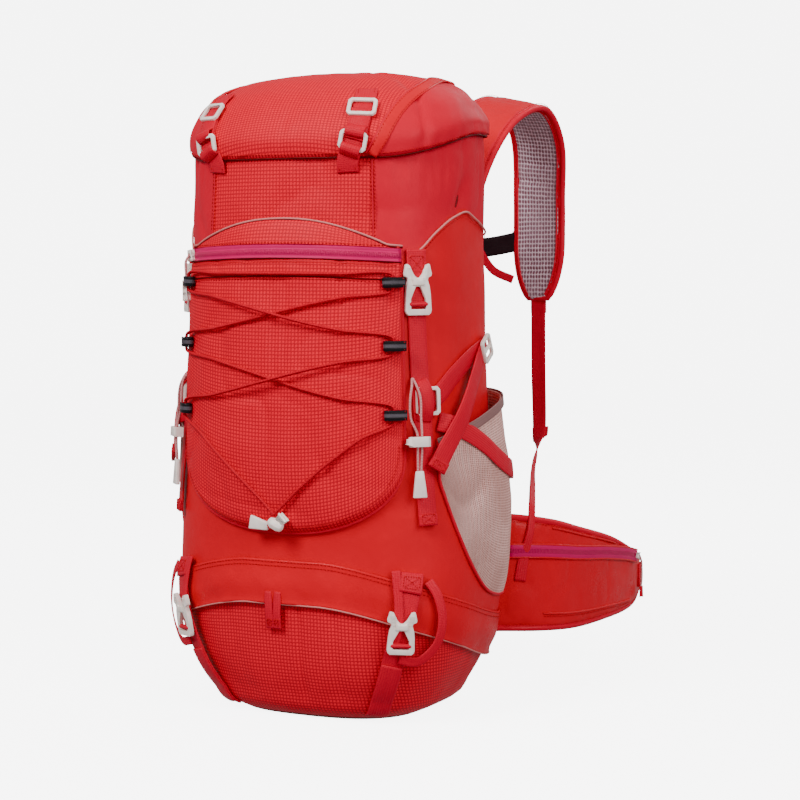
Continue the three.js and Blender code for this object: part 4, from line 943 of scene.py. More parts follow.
def build_lid_trim():
    rows = []
    for side, name in SIDES:
        line = surface_line(on_lid, [(side * t, r, 0.2) for t, r in BAND], 2.5)
        width = 11.5 * (0.75 + 0.25 * smoothstep(line.share, 0, 0.12))
        sweep(f"lid_band_{name}", line, width, 1.5, "plain", cup=0.5)
        for across in (-4.3, 4.3):
            moved = line.part(0.03, 0.97).moved(across, 1.2)
            rows.append(moved)
        edge = line.moved(-side * 6.0, 0.1)
        tube(f"lid_band_edge_{name}", edge.middle, 1.2, "red piping")
    hem = surface_line(on_lid, [(t, 0.004, -1.4) for t in np.linspace(-180, 180, 90)], 3.0)
    # A near-black tube just under the lid's hem, as painted shade beneath the hem's overhang.
    tube("lid_hem_and_shade", hem.middle, 0.7, "seam")
    inner = surface_line(on_lid, [(t, 0.045, 0.2) for t in np.linspace(-178, 178, 90)], 3.0)
    rows.append(inner)
    stitches("lid_stitches", rows, "ripstop_fabric")


# The front pocket

def pocket_grid(low, high, columns, rows, rows_at=None):
    turns = POCKET_TURN * np.sin(np.linspace(-1, 1, columns) * np.pi / 2 * 0.985) / math.sin(np.pi / 2 * 0.985)
    shares = np.linspace(0, 1, rows) if rows_at is None else rows_at
    turn, share = np.meshgrid(turns, shares)
    return turn, lerp(low(turn), high(turn), share)


def pocket_sheet(name, turn, height, lift, finish, node, centred=False):
    """One of the pocket's cloths. centred lays the pattern's middle along the cloth's own."""
    outer = on_bag(turn, height, lift)
    uv = surface_uv(outer)
    if centred:
        uv[..., 1] -= uv[-1:, :, 1].mean() / 2
    layered(name, outer, on_bag(turn, height, np.maximum(lift - 1.6, 0.2)), uv, finish, node)


def build_pocket(depth):
    shares = np.concatenate([[0, 0.006, 0.015, 0.03], np.linspace(0.045, 1, 120)])
    turn, height = pocket_grid(pocket_low, lambda t: zip_low(t) - 0.3, 150, 0, shares)
    spot = around(turn, 120.0, height)
    inward = np.clip((POCKET_TURN - np.abs(turn)) / 5, 0, 1)
    edge = np.minimum(inward, np.clip((height - pocket_low(turn)) / 14, 0, 1))
    relief = 1.1 * noise(spot, 70, 20) + 0.5 * noise(spot, 27, 21)
    pucker = creases(spot * [1, 1, 0.5], 32, 22) * 1.2 + creases(spot * [0.5, 1, 1.6], 50, 23) * 0.7
    roll = -1.3 * bell(1 - np.abs(turn) / POCKET_TURN, 0.012)
    lift = pocket_lift(turn, height) + (relief - depth * pucker) * edge + roll
    pocket_sheet("pocket_cloth", turn, height, lift, "ripstop", "front_pocket")

    turn, height = pocket_grid(zip_low, lambda t: zip_low(t) + ZIP_WIDTH, 150, 18)
    share = (height - zip_low(turn)) / ZIP_WIDTH
    coil = 0.7 * bell(share - 0.5, 0.14) - 0.5 * bell(share - 0.24, 0.05) - 0.5 * bell(share - 0.76, 0.05)
    lift = pocket_lift(turn, height) - 0.4 + coil + 0.4 * noise(around(turn, 120.0, height), 22, 24)
    pocket_sheet("pocket_zip", turn, height, lift, "zip", "front_zip", centred=True)

    turn, height = pocket_grid(lambda t: zip_low(t) + ZIP_WIDTH + 0.3, pocket_high, 150, 22)
    relief = 0.7 * noise(around(turn, 120.0, height), 30, 25)
    lift = pocket_lift(turn, height) + relief
    pocket_sheet("pocket_yoke", turn, height, lift, "ripstop", "front_yoke")


def build_pocket_trim():
    turns = np.linspace(-POCKET_TURN, POCKET_TURN, 40) * 1.005
    # The seam finish on these tubes and on those below is near black. Part of that is the seams' own colour, and part
    # is painted shade along them.
    for label, rise, lift, radius, finish in (("piping", 0.6, 0.6, 0.95, "piping"), ("seam", -1.0, 0.5, 0.7, "seam")):
        path = [(t, pocket_high(t) + rise, pocket_lift(t, pocket_high(t)) + lift) for t in turns]
        tube(f"pocket_top_{label}", bag_line(path, 2.5).middle, radius, finish)
    for label, below in (("upper", -0.5), ("lower", 15.5)):
        dark = surface_line(on_pocket, [(t, zip_low(t) - below, 0.25) for t in turns * 0.99], 2.5)
        tube(f"pocket_seam_{label}", dark.middle, 0.6, "seam")
    sides = [(-POCKET_TURN, h) for h in np.linspace(424, 300, 14)]
    foot = [(t, pocket_low(t)) for t in POCKET_TURN * np.sin(np.linspace(-1, 1, 60) * np.pi / 2 * 0.99)]
    path = sides + foot + [(-t, h) for t, h in reversed(sides)]
    edge = bag_line([(t, h - 0.4, 1.9) for t, h in path], 2.5)
    tube("pocket_edge_seam", edge.middle, 1.5, "red piping")
    rows = []
    for below in (2.6, 17.5):
        rows.append(surface_line(on_pocket, [(t, zip_low(t) - below, 0.35) for t in np.linspace(-52, 52, 40)], 2.5))
    over = [(t, zip_low(t) + ZIP_WIDTH + 2.0, 0.55) for t in np.linspace(-51, 51, 40)]
    rows.append(surface_line(on_pocket, over, 2.5))
    rows.append(surface_line(on_pocket, [(t * 0.955, h + 5.5, 0.35) for t, h in foot], 2.5))
    stitches("pocket_stitches", rows, "ripstop_fabric")
    # The zip's slider and its cord pull hang at the left end
    turn, height = -52.2, zip_low(-52.0) + ZIP_WIDTH / 2
    seat = on_pocket(turn, height, 1.6)
    out = unit(on_pocket(turn, height, 3.0) - seat)
    slab("pocket_zip_slider", seat, out, [0.15, 0, -1.0], (9, 7, 3.4))
    fall = ((2.2, 0, 0), (4.6, -1.2, -6), (4.0, -1.8, -17), (3.0, -2.0, -26))
    drops = [seat + out * away + [x, 0, z] for away, x, z in fall]
    cord = spline(drops, 30)
    tube("pocket_pull_cord", cord, 1.3, "pale cord")
    slab("pocket_pull_grip", cord[-1] + [0, 0, -7], out, [0.05, 0, -1.0], (17, 7, 4.2))


def bevelled(name, mesh, edges, width, node=None, finish="plastic", sharp=38, scale=1.0):
    """A moulded piece from a bmesh, with the given edges rounded off. scale turns its unit into millimetres."""
    bmesh.ops.bevel(mesh, geom=edges, offset=width, segments=3, profile=0.5, affect="EDGES", clamp_overlap=True)
    mesh.verts.index_update()
    points = [tuple(v.co / scale) for v in mesh.verts]
    faces = [[v.index for v in face.verts] for face in mesh.faces]
    mesh.free()
    return mesh_piece(name, points, faces, None, finish, node, sharp=sharp)


def flattened(mesh, fold):
    """Merges a bmesh's flat faces, and finds its edges that fold by more than the given degrees."""
    bmesh.ops.dissolve_limit(mesh, angle_limit=math.radians(2), verts=mesh.verts, edges=mesh.edges)
    return [e for e in mesh.edges if len(e.link_faces) == 2 and e.calc_face_angle(0) > math.radians(fold)]


def slab(name, middle, out, ahead, size, finish="plastic"):
    """A small moulded grip: length along ahead, then width and thickness, with rounded edges."""
    length, width, thick = size
    out, ahead = unit(np.asarray(out, float)), unit(np.asarray(ahead, float))
    across = unit(np.cross(ahead, out))
    out = np.cross(across, ahead)
    mesh = bmesh.new()
    bmesh.ops.create_cube(mesh, size=1.0)
    basis = Matrix(np.stack([across * width, ahead * length, out * thick], 1).tolist()).to_4x4()
    basis.translation = Vector(middle)
    for vertex in mesh.verts:
        vertex.co.x *= 1.18 if vertex.co.y > 0 else 0.74
    long = [e for e in mesh.edges if abs(e.verts[0].co.y - e.verts[1].co.y) > 0.5]
    bmesh.ops.subdivide_edges(mesh, edges=long, cuts=2)
    mesh.transform(basis)
    return bevelled(name, mesh, list(mesh.edges), min(size) * 0.26, finish=finish, sharp=50)


def moulded(node, bevel):
    """A CAD fitting with rounded edges, in the node's own place."""
    mesh = bmesh.new()
    mesh.from_mesh(frame["nodes"][node].data)
    bmesh.ops.remove_doubles(mesh, verts=mesh.verts, dist=1e-6)
    return bevelled(f"{node}_moulded", mesh, flattened(mesh, 28), bevel * MM, node, scale=MM)


# The lid's straps

LID_STRAPS = {"left": (-52.5, -41), "right": (42, 33.5)}


def build_lid_straps():
    rows = []
    for name, (top, hem) in LID_STRAPS.items():
        path = [(lerp(hem, top, s), 0.73 * s, 0.55) for s in (1, 0.85, 0.7, 0.5, 0.3, 0.12)]
        over = surface_line(on_lid, path, 2.0)
        foot = ((2, 3.4), (6, 2.8), (10, 1.4), (14, -0.4))
        below = bag_line([(hem, hem_at(hem) - drop, lift) for drop, lift in foot], 2.0)
        middle = np.concatenate([over.middle, below.middle])
        out = np.concatenate([over.out, below.out])
        smooth = spline(middle[::4], 60)
        line = Line(smooth, unit(spline(out[::4], 60)))
        cup = 0.8 * np.sin(np.pi * np.clip((line.share - 0.1) * 1.6, 0, 1))
        web(f"lid_web_{name}", line, 20.0, 1.5, f"lid_strap_{name}", cup=cup)
        for low, high in ((0.0, 0.1), (0.93, 0.985)):
            for across in (-7.5, 7.5):
                rows.append(line.part(low, high).moved(across, 1.6))
        # The strap's doubled layer between slider and lock, folded back through the slider
        double = line.part(0.3, 0.66).moved(0, 1.7)
        web(f"lid_web_fold_{name}", double, 19.4, 1.4, cup=0.9 * np.sin(np.pi * double.share))
        for node in (f"lid_slider_{name}", f"lid_lock_{name}"):
            moulded(node, 0.9)
        # The webbing is rolled over both bars of the lock, and only its side arms show
        low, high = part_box(f"lid_lock_{name}")
        middle = np.array((low + high) / 2) / MM
        at = line.length[np.linalg.norm(line.middle - middle, axis=-1).argmin()]
        for k, label in ((-1, "over"), (1, "under")):
            reach = at + k * np.linspace(13.5, 3.6, 12)
            spots, outs = (
                np.stack([np.interp(reach, line.length, rows3[:, a]) for a in range(3)], -1)
                for rows3 in (line.middle, line.out)
            )
            outs = unit(outs)
            hump = np.interp(np.linspace(0, 1, 12), [0, 0.25, 0.45, 0.8, 1], [1.4, 4.6, 6.4, 6.2, 3.4])
            roll = Line(spots + outs * hump[:, None], outs)
            web(f"lid_web_{label}_{name}", roll, 18.5, 1.4, cup=0.3)
    stitches("lid_strap_stitches", rows, "webbing")


# The lacing

LACE_HEIGHTS = (404, 348, 286)
LACE_TURN, LACE_REACH, LACE_LOOP_WIDTH, LACE_LOOP_HEIGHT = 50.5, 20.5, 9.5, 7.5
LACE_CORD, LACE_LIFT, LACE_CROSSING, LACE_LOCK, LACE_BEND = 3.2, 1.0, 5.2, 192, 2.2
LACE_PASS = LACE_LOOP_WIDTH / 2 + 2.4
# The side and loop that each leg of the lacing runs to, its way through the loop, and its lift at a crossing
LACE_LEGS = [
    (1, 2, 1, 0), (-1, 1, 1, 0), (1, 0, 1, 0), (-1, 0, -1, 0), (1, 1, -1, LACE_CROSSING), (-1, 2, -1, LACE_CROSSING),
]


def seat_on(on, turn, height, lift, step=1.0):
    middle = on(turn, height, lift)
    out = unit(on(turn, height, lift + 1) - middle)
    up = on(turn, height + step, lift) - middle
    up = unit(up - out * np.dot(up, out))
    return middle, unit(np.cross(up, out)), up, out


def lace_path():
    face = LACE_CORD / 2 + LACE_LIFT
    start = (0.1, LACE_LOCK + 3)
    points, here = [on_pocket(*start, 4.6)], start

    def run_to(there, over):
        for share in (0.16, 0.32, 0.5, 0.68, 0.84):
            hump = over * math.sin(math.pi * share) ** 2
            points.append(on_pocket(lerp(here[0], there[0], share), lerp(here[1], there[1], share), face + hump))

    for side, loop, way, over in LACE_LEGS:
        height = LACE_HEIGHTS[loop]
        middle, across, up, _ = seat_on(on_pocket, side * LACE_TURN, height, LACE_LOOP_HEIGHT / 2)
        inside = side * (LACE_TURN - 4)
        run_to((inside, height - way * LACE_PASS), over)
        points.extend(middle - across * side * LACE_BEND + up * way * share * LACE_PASS for share in (-1, 0, 1))
        here = (inside, height + way * LACE_PASS)
    run_to((-start[0], start[1]), 0)
    points.append(on_pocket(-start[0], start[1], 4.6))
    return spline(points, 700)


# A lacing loop's section, as shares of its half width and half height
LACE_CORNERS = [(1, -0.9), (0, -1), (-0.8, -1), (-1, -0.4), (-1, 0.4), (-0.8, 1), (0, 0.9), (1, -0.35)]


def build_lacing():
    path = lace_path()
    tube("lace_braid", path, LACE_CORD / 2 * 0.94, "cord", "lace_cord", 8)
    rows = []
    for side, name in SIDES:
        for i, height in enumerate(LACE_HEIGHTS):
            middle, across, up, out = seat_on(on_pocket, side * LACE_TURN, height, LACE_LOOP_HEIGHT / 2)
            half, rise = LACE_REACH / 2 - 0.8, LACE_LOOP_HEIGHT / 2 - 0.8
            points = [middle + across * (side * half * a) + out * (rise * b) for a, b in LACE_CORNERS]
            fine = spline(points, 90)
            fine = catmull(fine, even_shares(fine, 0.9))
            inward = middle - fine
            inward = unit(inward - up[None] * (inward @ up)[:, None])
            line = Line(fine, -inward)
            sweep(f"lace_keeper_{name}_{i + 1}", line, 9.2, 1.3, "keeper", f"lace_loop_{name}_{i + 1}")
            seat = middle + across * side * (half - 3.2)
            for along_share in (-0.36, 0.36):
                base = seat + up * (along_share * 9.2) - out * (rise * 0.15) + out * 1.4
                rows.append((base + across * np.array([[-3], [0], [3]]), np.repeat(out[None], 3, 0)))
    stitches("lace_keeper_stitches", rows, "keeper", pitch=1.9, stitch=1.3)
    moulded("lace_lock", 0.5)
    moulded("lace_end", 1.1)
    middle, across, up, out = seat_on(on_pocket, 1.0, LACE_LOCK - 6, 6.5)
    slab("lace_lock_button", middle + up * 4.2 + across * 5.5, out, up * 0.7 + across * 0.7, (7.5, 6.2, 5.2))
    for k in (-1, 1):
        fall = ((k * 0.6, 1, 4.8), (-2.0, k - 8, 5.2), (-4.6, k * 0.8 - 8, 3.9))
        cord = spline([on_pocket(turn, LACE_LOCK + rise, lift) for turn, rise, lift in fall], 16)
        tube(f"lace_tail_{(k + 3) // 2}", cord, 1.35, "cord")


# The straps on each side

SIDE_TURN, SIDE_BUCKLE_HEIGHT = 59.5, 398
REAR_TURN, REAR_HEIGHT = 99, 341
SIDE_STRAP = [(59.5, 434, 0), (59.5, 398, 0), (60, 330, 0), (61, 270, 1.2), (61, 225, 1.6), (61.5, 186, 2.4)]
ARM = [(58, 298, 0), (64.5, 299, 0), (76, 319, 0), (88, 334, 0), (105, 346, 0)]
TAIL = [(63.5, 236, 9.5), (67, 252, 11), (75, 281, 12), (86, 313, 8), (99, 341, 2.6), (103, 345, 0.8)]
LOWER = [(67.5, 279), (72, 275), (78, 267), (86, 254), (94, 240), (102, 230), (112, 224), (122, 222)]

SLIDER_PASS = [
    (59.8, 316, 1.4), (60.3, 312, 4.4), (60.8, 307, 6.6), (61, 298, 7.4), (61.2, 289, 6.6), (61, 284, 4.4),
    (60.8, 280, 2.2),
]


def mirror(path, side, lift=0.0):
    return [(side * row[0], row[1], row[2] + lift) for row in path]


def box_stitch(line, low, high, width, lift):
    """The rows of a sewn box with a cross, near a strap's end."""
    part = line.part(low, high)
    if len(part.middle) < 3:
        return []
    share = (part.share - part.share[0]) / (part.share[-1] - part.share[0])
    rows = [part.moved(side * width / 2, lift) for side in (-1, 1)]
    rows += [part.moved((2 * share - 1) * way * width / 2, lift) for way in (-1, 1)]
    found = [(row.middle, row.out) for row in rows]
    for end in (0, -1):
        across = np.linspace(-width / 2, width / 2, 6)[:, None]
        spot = part.middle[end] + part.across[end] * across + part.out[end] * lift
        found.append((spot, np.repeat(part.out[end][None], 6, 0)))
    return found


def build_side_straps():
    rows = []
    for side, name in SIDES:
        line = bag_line(mirror(SIDE_STRAP, side, 0.6), 2.0)
        bulge = 0.6 * bell(line.share - 0.28, 0.08)
        web(f"side_web_{name}", line, WEB - 0.6, WEB_THICK, f"side_strap_{name}", cup=bulge)
        fold = line.part(0.955, 1.0).moved(0, 1.6)
        web(f"side_web_fold_{name}", fold, WEB - 0.8, 1.7)
        top = line.part(0.0, 0.105).moved(0, 1.6)
        web(f"side_tab_{name}", top, WEB + 0.6, 1.5)
        rows += box_stitch(line, 0.02, 0.085, WEB - 5, 3.3)
        rows += box_stitch(line, 0.955, 0.995, WEB - 5, 3.4)
        # A turn of webbing rolled over the buckle's bar
        middle, across, *_ = seat_on(on_bag, side * SIDE_TURN, SIDE_BUCKLE_HEIGHT - 13, WEB_THICK + 3.4)
        roll = np.array([middle + across * s for s in np.linspace(-7.4, 7.4, 9)])
        tube(f"side_roll_{name}", roll, 2.3, "webbing", sides=14)
        side_buckle(f"side_buckle_{name}", side * SIDE_TURN, SIDE_BUCKLE_HEIGHT, WEB_THICK + 0.7, 46)
        moulded(f"side_slider_{name}", 0.9)
        over = bag_line(mirror(SLIDER_PASS, side, 0.6), 1.6)
        web(f"side_over_{name}", over, WEB - 2.4, WEB_THICK, cup=0.6)

        arm = bag_line(mirror(ARM, side, 1.1), 2.0)
        twist = 0.5 * np.sin(np.pi * arm.share)
        web(f"cross_web_{name}", arm, WEB - 0.8, WEB_THICK + 0.4, f"compression_strap_{name}", cup=twist)
        tail = bag_line(mirror(TAIL, side, 0.6), 2.0)
        twist = 0.9 * np.sin(np.pi * tail.share)
        web(f"cross_tail_{name}", tail, WEB + 0.2, WEB_THICK, cup=twist)
        hem = tail.part(0.0, 0.07).moved(0, 1.6)
        web(f"cross_tail_fold_{name}", hem, WEB, 1.6)
        rows += box_stitch(tail, 0.005, 0.06, WEB - 4.5, 3.3)
        block = bag_line(mirror([(60.2, 284, 1.8), (63, 298, 2.4), (66, 303, 2.2)], side), 1.6)
        web(f"cross_block_{name}", block, WEB - 1.2, 1.6)
        moulded(f"rear_buckle_{name}", 0.9)
        middle, across, up, out = seat_on(on_bag, side * (REAR_TURN + 1), REAR_HEIGHT + 1, 5.6)
        slab(f"rear_bar_{name}", middle + out * 1.0, out, across + up * 0.4 * side, (17, 2.8, 2.4))

        path = []
        for turn, height in LOWER:
            over = turn > MESH_FRONT and height < mesh_high(turn) + WEB / 2
            path.append((side * turn, height, (mesh_lift(turn, height) if over else 0.2) + 1.2))
        lower = bag_line(path, 2.0)
        web(f"lower_web_{name}", lower, WEB - 0.6, WEB_THICK, f"lower_strap_{name}", cup=0.5)
    stitches("side_strap_stitches", rows, "webbing", **STRAP_STITCH)


# The right half of a buckle's outline, its window and its raised middle, as shares of half its width and length
BUCKLE_EDGE = [
    (0.7, -1), (0.84, -0.92), (0.9, -0.8), (0.86, -0.2), (0.8, 0.12), (0.68, 0.36), (0.72, 0.46), (0.94, 0.53),
    (0.97, 0.62), (0.84, 0.97), (0.74, 1.0), (0.56, 0.95), (0.3, 0.6), (0.1, 0.46),
]
BUCKLE_WINDOW = [(-0.52, -0.76), (0.52, -0.76), (0.52, -0.36), (0.16, 0.12), (-0.16, 0.12), (-0.52, -0.36)]
BUCKLE_CORE = [(-0.42, 0.16), (0.42, 0.16), (0.36, 0.5), (0.16, 0.42), (-0.16, 0.42), (-0.36, 0.5)]


def side_buckle(node, turn, height, lift, length, width=28.0):
    """A side release buckle: a socket with two prongs showing, a raised middle and a ladder bar."""
    middle, across, up, out = seat_on(on_bag, turn, height, lift)
    x, y = width / 2, length / 2
    body = [(-0.7, -1)] + BUCKLE_EDGE + [(-a, b) for a, b in BUCKLE_EDGE[:0:-1]]
    layers = (("", body, BUCKLE_WINDOW, 0.0, 4.2), ("_core", BUCKLE_CORE, None, 3.4, 2.2))
    for suffix, outline, hole, base, thick in layers:
        mesh = bmesh.new()
        loops = []
        for points in (outline, hole) if hole else (outline,):
            loops.append([mesh.verts.new(middle + across * a * x + up * b * y + out * base) for a, b in points])
        edges = [mesh.edges.new((loop[k], loop[(k + 1) % len(loop)])) for loop in loops for k in range(len(loop))]
        made = bmesh.ops.triangle_fill(mesh, use_beauty=True, edges=edges)
        flat = [f for f in made["geom"] if isinstance(f, bmesh.types.BMFace)]
        raised = bmesh.ops.extrude_face_region(mesh, geom=flat)
        top = [v for v in raised["geom"] if isinstance(v, bmesh.types.BMVert)]
        bmesh.ops.translate(mesh, verts=top, vec=Vector(out * thick))
        bmesh.ops.recalc_face_normals(mesh, faces=mesh.faces)
        bevelled(f"{node}_moulded{suffix}", mesh, flattened(mesh, 60), 0.9, None if suffix else node)
    for k in (-1, 1):
        groove = middle + across * k * 0.58 * x + up * 0.62 * y + out * 4.3
        slab(f"{node}_rib_{(k + 3) // 2}", groove, out, up + across * k * 0.1, (length * 0.22, 2.2, 1.2))


# The mesh pockets and the pole holders

def build_mesh_pockets():
    for side, name in SIDES:
        turns = np.linspace(MESH_FRONT, MESH_BACK, 80)
        shares = np.concatenate([[0, 0.01, 0.025], np.linspace(0.045, 1, 90)])
        turn, share = np.meshgrid(turns, shares)
        height = lerp(mesh_low(turn), mesh_high(turn), share)
        spot = around(turn, 150.0, height)
        edge = np.sin(np.pi * mesh_share(turn)) ** 0.5 * np.clip(share * 8, 0, 1)
        slack = 1.7 * noise(spot * [1, 1, 0.5], 44, 30 + side) + 0.9 * noise(spot, 19, 31)
        fold = -3.4 * bell(turn - 88 + 26 * (1 - share) ** 2, 2.4)
        fold = fold * smoothstep(share, 0.1, 0.3) * (1 - smoothstep(share, 0.55, 0.7))
        lift = mesh_lift(turn, height) + (slack + fold) * edge
        hem = 0.9 * smoothstep(share, 0.955, 0.965)
        outer = on_bag(side * turn, height, lift + hem)
        inner = on_bag(side * turn, height, np.maximum(lift - 0.9, 0.2))
        uv = surface_uv(outer)
        if side < 0:
            outer, inner, uv = outer[:, ::-1], inner[:, ::-1], uv[:, ::-1]
        cloth = layered(f"mesh_cloth_{name}", outer, inner, uv, "mesh", f"mesh_pocket_{name}")
        mouth = np.linspace(MESH_FRONT, MESH_BACK, 24)
        top = [(side * t, mesh_high(t) - 2.5, mesh_lift(t, mesh_high(t)) + 0.4) for t in mouth]
        sweep(f"mesh_hem_{name}", bag_line(top, 2.0), 9.0, 1.3, "mesh hem")
        edges = [(side * t, mesh_low(t), 1.4) for t in np.linspace(MESH_BACK, MESH_FRONT, 30)]
        edges += [(side * MESH_FRONT, h, 1.4) for h in np.linspace(232, 262, 6)]
        seam = bag_line(edges, 2.5)
        tube(f"mesh_seam_{name}", seam.middle, 1.5, "red piping")


POLE_TURN, POLE_SPREAD, POLE_LOCK_TURN, POLE_LOCK = 57, 1.7, 58, 262
POLE_ROWS = [
    (236, 0.3, 11), (254, 0.4, 13), (269, 0.45, 13), (283, 1, 12), (301, 1, 11.2), (311.5, 0.5, 8.6), (318.5, 0, 3.1),
]


def build_pole_holders():
    for side, name in SIDES:
        def strand(way):
            found = []
            for height, turn, lift in POLE_ROWS:
                middle = POLE_TURN if height > POLE_LOCK + 10 else POLE_LOCK_TURN
                found.append(on_bag(side * (middle + way * turn * POLE_SPREAD), height, lift))
            return found
        points = strand(1) + strand(-1)[::-1][1:]
        tube(f"pole_cord_{name}", spline(points, 120), 1.15, "pale cord", f"pole_loop_{name}", 8)
        moulded(f"pole_lock_{name}", 1.2)
        moulded(f"pole_end_{name}", 1.0)
        middle, across, _, out = seat_on(on_bag, side * POLE_LOCK_TURN, POLE_LOCK, 13)
        slab(f"pole_button_{name}", middle - across * side * 9.5, out, across, (5.0, 6.4, 6.0))


# The bottom straps

BOTTOM_TURN, BOTTOM_FOOT_TURN, BOTTOM_BUCKLE = 56, 48.5, 92
BOTTOM = [
    (143, 0, 0), (133, 0.06, 3.6), (114, 0.25, 6.8), (95, 0.45, 8), (70, 0.65, 7), (42, 0.85, 4), (18, 0.95, 1.2),
    (6, 1, 0),
]
BOTTOM_TAIL = [(136, 61.5, 3.2), (124, 64, 7), (100, 65.5, 11), (78, 63.5, 12), (66, 58, 11.5), (68, 52.5, 9.5)]

BOTTOM_STRIP = [(146, 60, 0), (136, 60.3, 2.4), (116, 61, 5.6), (97, 61, 8.2), (80, 60, 7.5)]


def build_bottom_straps():
    rows = []
    for side, name in SIDES:
        path = [(side * lerp(BOTTOM_TURN, BOTTOM_FOOT_TURN, t), h, l + 0.4) for h, t, l in BOTTOM]
        line = bag_line(path, 2.0)
        web(f"bottom_web_{name}", line, WIDE_WEB - 0.8, WEB_THICK, f"bottom_strap_{name}", cup=0.4)
        lower = line.part(0.56, 0.97).moved(0, 1.7)
        web(f"bottom_web_lower_{name}", lower, WIDE_WEB - 1.6, 1.4, cup=0.5)
        tail = bag_line([(side * t, h, l + 0.6) for h, t, l in BOTTOM_TAIL], 1.6)
        web(f"bottom_loop_{name}", tail, 8.6, 1.3)
        strip = bag_line([(side * (t - 9.5), h, l + 3.4) for h, t, l in BOTTOM_STRIP], 1.6)
        web(f"bottom_strip_{name}", strip, 8.0, 1.3)
        top = line.part(0.0, 0.12).moved(0, 1.7)
        web(f"bottom_tab_{name}", top, WIDE_WEB - 0.4, 1.5)
        rows += box_stitch(line, 0.02, 0.1, WIDE_WEB - 6, 3.4)
        turn = side * lerp(BOTTOM_TURN, BOTTOM_FOOT_TURN, 0.45)
        side_buckle(f"bottom_buckle_{name}", turn, BOTTOM_BUCKLE, 8 + WEB_THICK + 0.5, 40)
        middle, across, *_ = seat_on(on_bag, turn, BOTTOM_BUCKLE - 11, WEB_THICK + 11.5)
        roll = np.array([middle + across * s for s in np.linspace(-8, 8, 9)])
        tube(f"bottom_roll_{name}", roll, 2.2, "webbing", sides=14)
    for name, x in (("left", -14), ("right", -4)):
        lean = 0.6 if name == "left" else -0.8
        turn = math.degrees(math.atan2(x, 107))
        drop = [(turn, 122, 4.4), (turn + lean * 0.2, 116, 5.0), (turn + lean * 0.6, 104, 5.4), (turn + lean, 88, 4.2)]
        line = bag_line(drop, 1.5)
        width = 8.0 - 1.6 * (1 - smoothstep(line.share, 0, 0.3))
        web(f"zip_tab_{name}", line, width, 1.4, f"bottom_zip_pull_{name}", cup=0.3)
        rows += box_stitch(line, 0.7, 0.95, 4.8, 1.7)
    stitches("bottom_strap_stitches", rows, "webbing", **STRAP_STITCH)


# Padding

def shown_mesh(piece):
    return bpy.data.meshes.new_from_object(piece.evaluated_get(bpy.context.evaluated_depsgraph_get()))


def points_of(mesh):
    points = np.empty(len(mesh.vertices) * 3)
    mesh.vertices.foreach_get("co", points)
    return points.reshape(-1, 3) / MM


def inflated(grid, held, pressure, voxel=5.0, most=3.2):
    """Fills a closed skin of rings with air. held gives 0 to 1 for how firmly each point is sewn down."""
    mesh = bpy.data.meshes.new("pad")
    mesh.from_pydata((grid.reshape(-1, 3) * MM).tolist(), [], ring_faces(*grid.shape[:2]))
    pad = put("pad", mesh)
    remesh = pad.modifiers.new("even", "REMESH")
    remesh.mode = "VOXEL"
    remesh.voxel_size = voxel * MM
    even = shown_mesh(pad)
    bpy.data.objects.remove(pad)
    pad = put("pad", even)
    rest = points_of(even)
    group = pad.vertex_groups.new(name="sewn")
    weight = np.clip(held(rest), 0, 1)
    for level in np.unique(np.round(weight, 1)):
        group.add(np.flatnonzero(np.round(weight, 1) == level).tolist(), float(level), "REPLACE")
    cloth = pad.modifiers.new("cloth", "CLOTH")
    for key, value in (
        ("vertex_group_mass", "sewn"), ("quality", 6), ("mass", 0.2), ("tension_stiffness", 12),
        ("compression_stiffness", 12), ("shear_stiffness", 6), ("bending_stiffness", 0.6),
        ("use_pressure", True), ("uniform_pressure_force", pressure),
    ):
        setattr(cloth.settings, key, value)
    cloth.settings.effector_weights.gravity = 0
    cloth.collision_settings.use_collision = False
    scene = bpy.context.scene
    for step in range(1, 21):
        scene.frame_set(step)
    blown = shown_mesh(pad)
    moved = points_of(blown) - rest
    far = np.linalg.norm(moved, axis=1, keepdims=True)
    moved *= np.minimum(1, most / np.maximum(far, 1e-6))
    pad.modifiers.clear()
    scene.frame_set(1)
    even.vertices.foreach_set("co", ((rest + moved) * MM).ravel())
    even.update()
    finer = pad.modifiers.new("finer", "SUBSURF")
    finer.levels = 1
    finer.render_levels = 1
    fine = shown_mesh(pad)
    bpy.data.objects.remove(pad)
    return points_of(fine), [list(face.vertices) for face in fine.polygons]


class Strap:
    """Where points lie on a strap's line: across it, along it and out of it, in millimetres."""

    def __init__(self, line, width):
        self.line = line
        self.half = np.broadcast_to(width, line.share.shape) / 2

    def find(self, points):
        near = np.empty(len(points), int)
        for first in range(0, len(points), 4000):
            part = points[first: first + 4000]
            near[first: first + 4000] = np.linalg.norm(part[:, None] - self.line.middle[None], axis=-1).argmin(1)
        offset = points - self.line.middle[near]
        across, ahead, out = (np.sum(offset * way[near], -1) for way in (self.line.across, self.line.ahead, self.line.out))
        return across, self.line.length[near] + ahead, out, self.half[near]


PAD_SECTION = np.array([
    (-0.97, 0.5), (-0.93, 0.14), (-0.8, 0.04), (-0.5, 0.0), (0.0, -0.02), (0.5, 0.0), (0.8, 0.04), (0.93, 0.14),
    (0.97, 0.5), (0.93, 0.86), (0.8, 0.96), (0.5, 1.0), (0.0, 1.02), (-0.5, 1.0), (-0.8, 0.96), (-0.93, 0.86),
])


def pad_grid(line, width, thick):
    x = PAD_SECTION[:, 0][None] * np.broadcast_to(width, line.share.shape)[:, None] / 2
    z = (PAD_SECTION[:, 1][None] - 0.5) * thick
    return line.middle[:, None] + line.across[:, None] * x[..., None] + line.out[:, None] * z[..., None]


def round_tip(line, width, inset):
    """Points along one edge of a strap, round its tip and back along the other."""
    near, far = (line.moved(side * (width / 2 - inset), 0).middle[2:] for side in (1, -1))
    return np.concatenate([near[:-1], far[::-1][1:]])


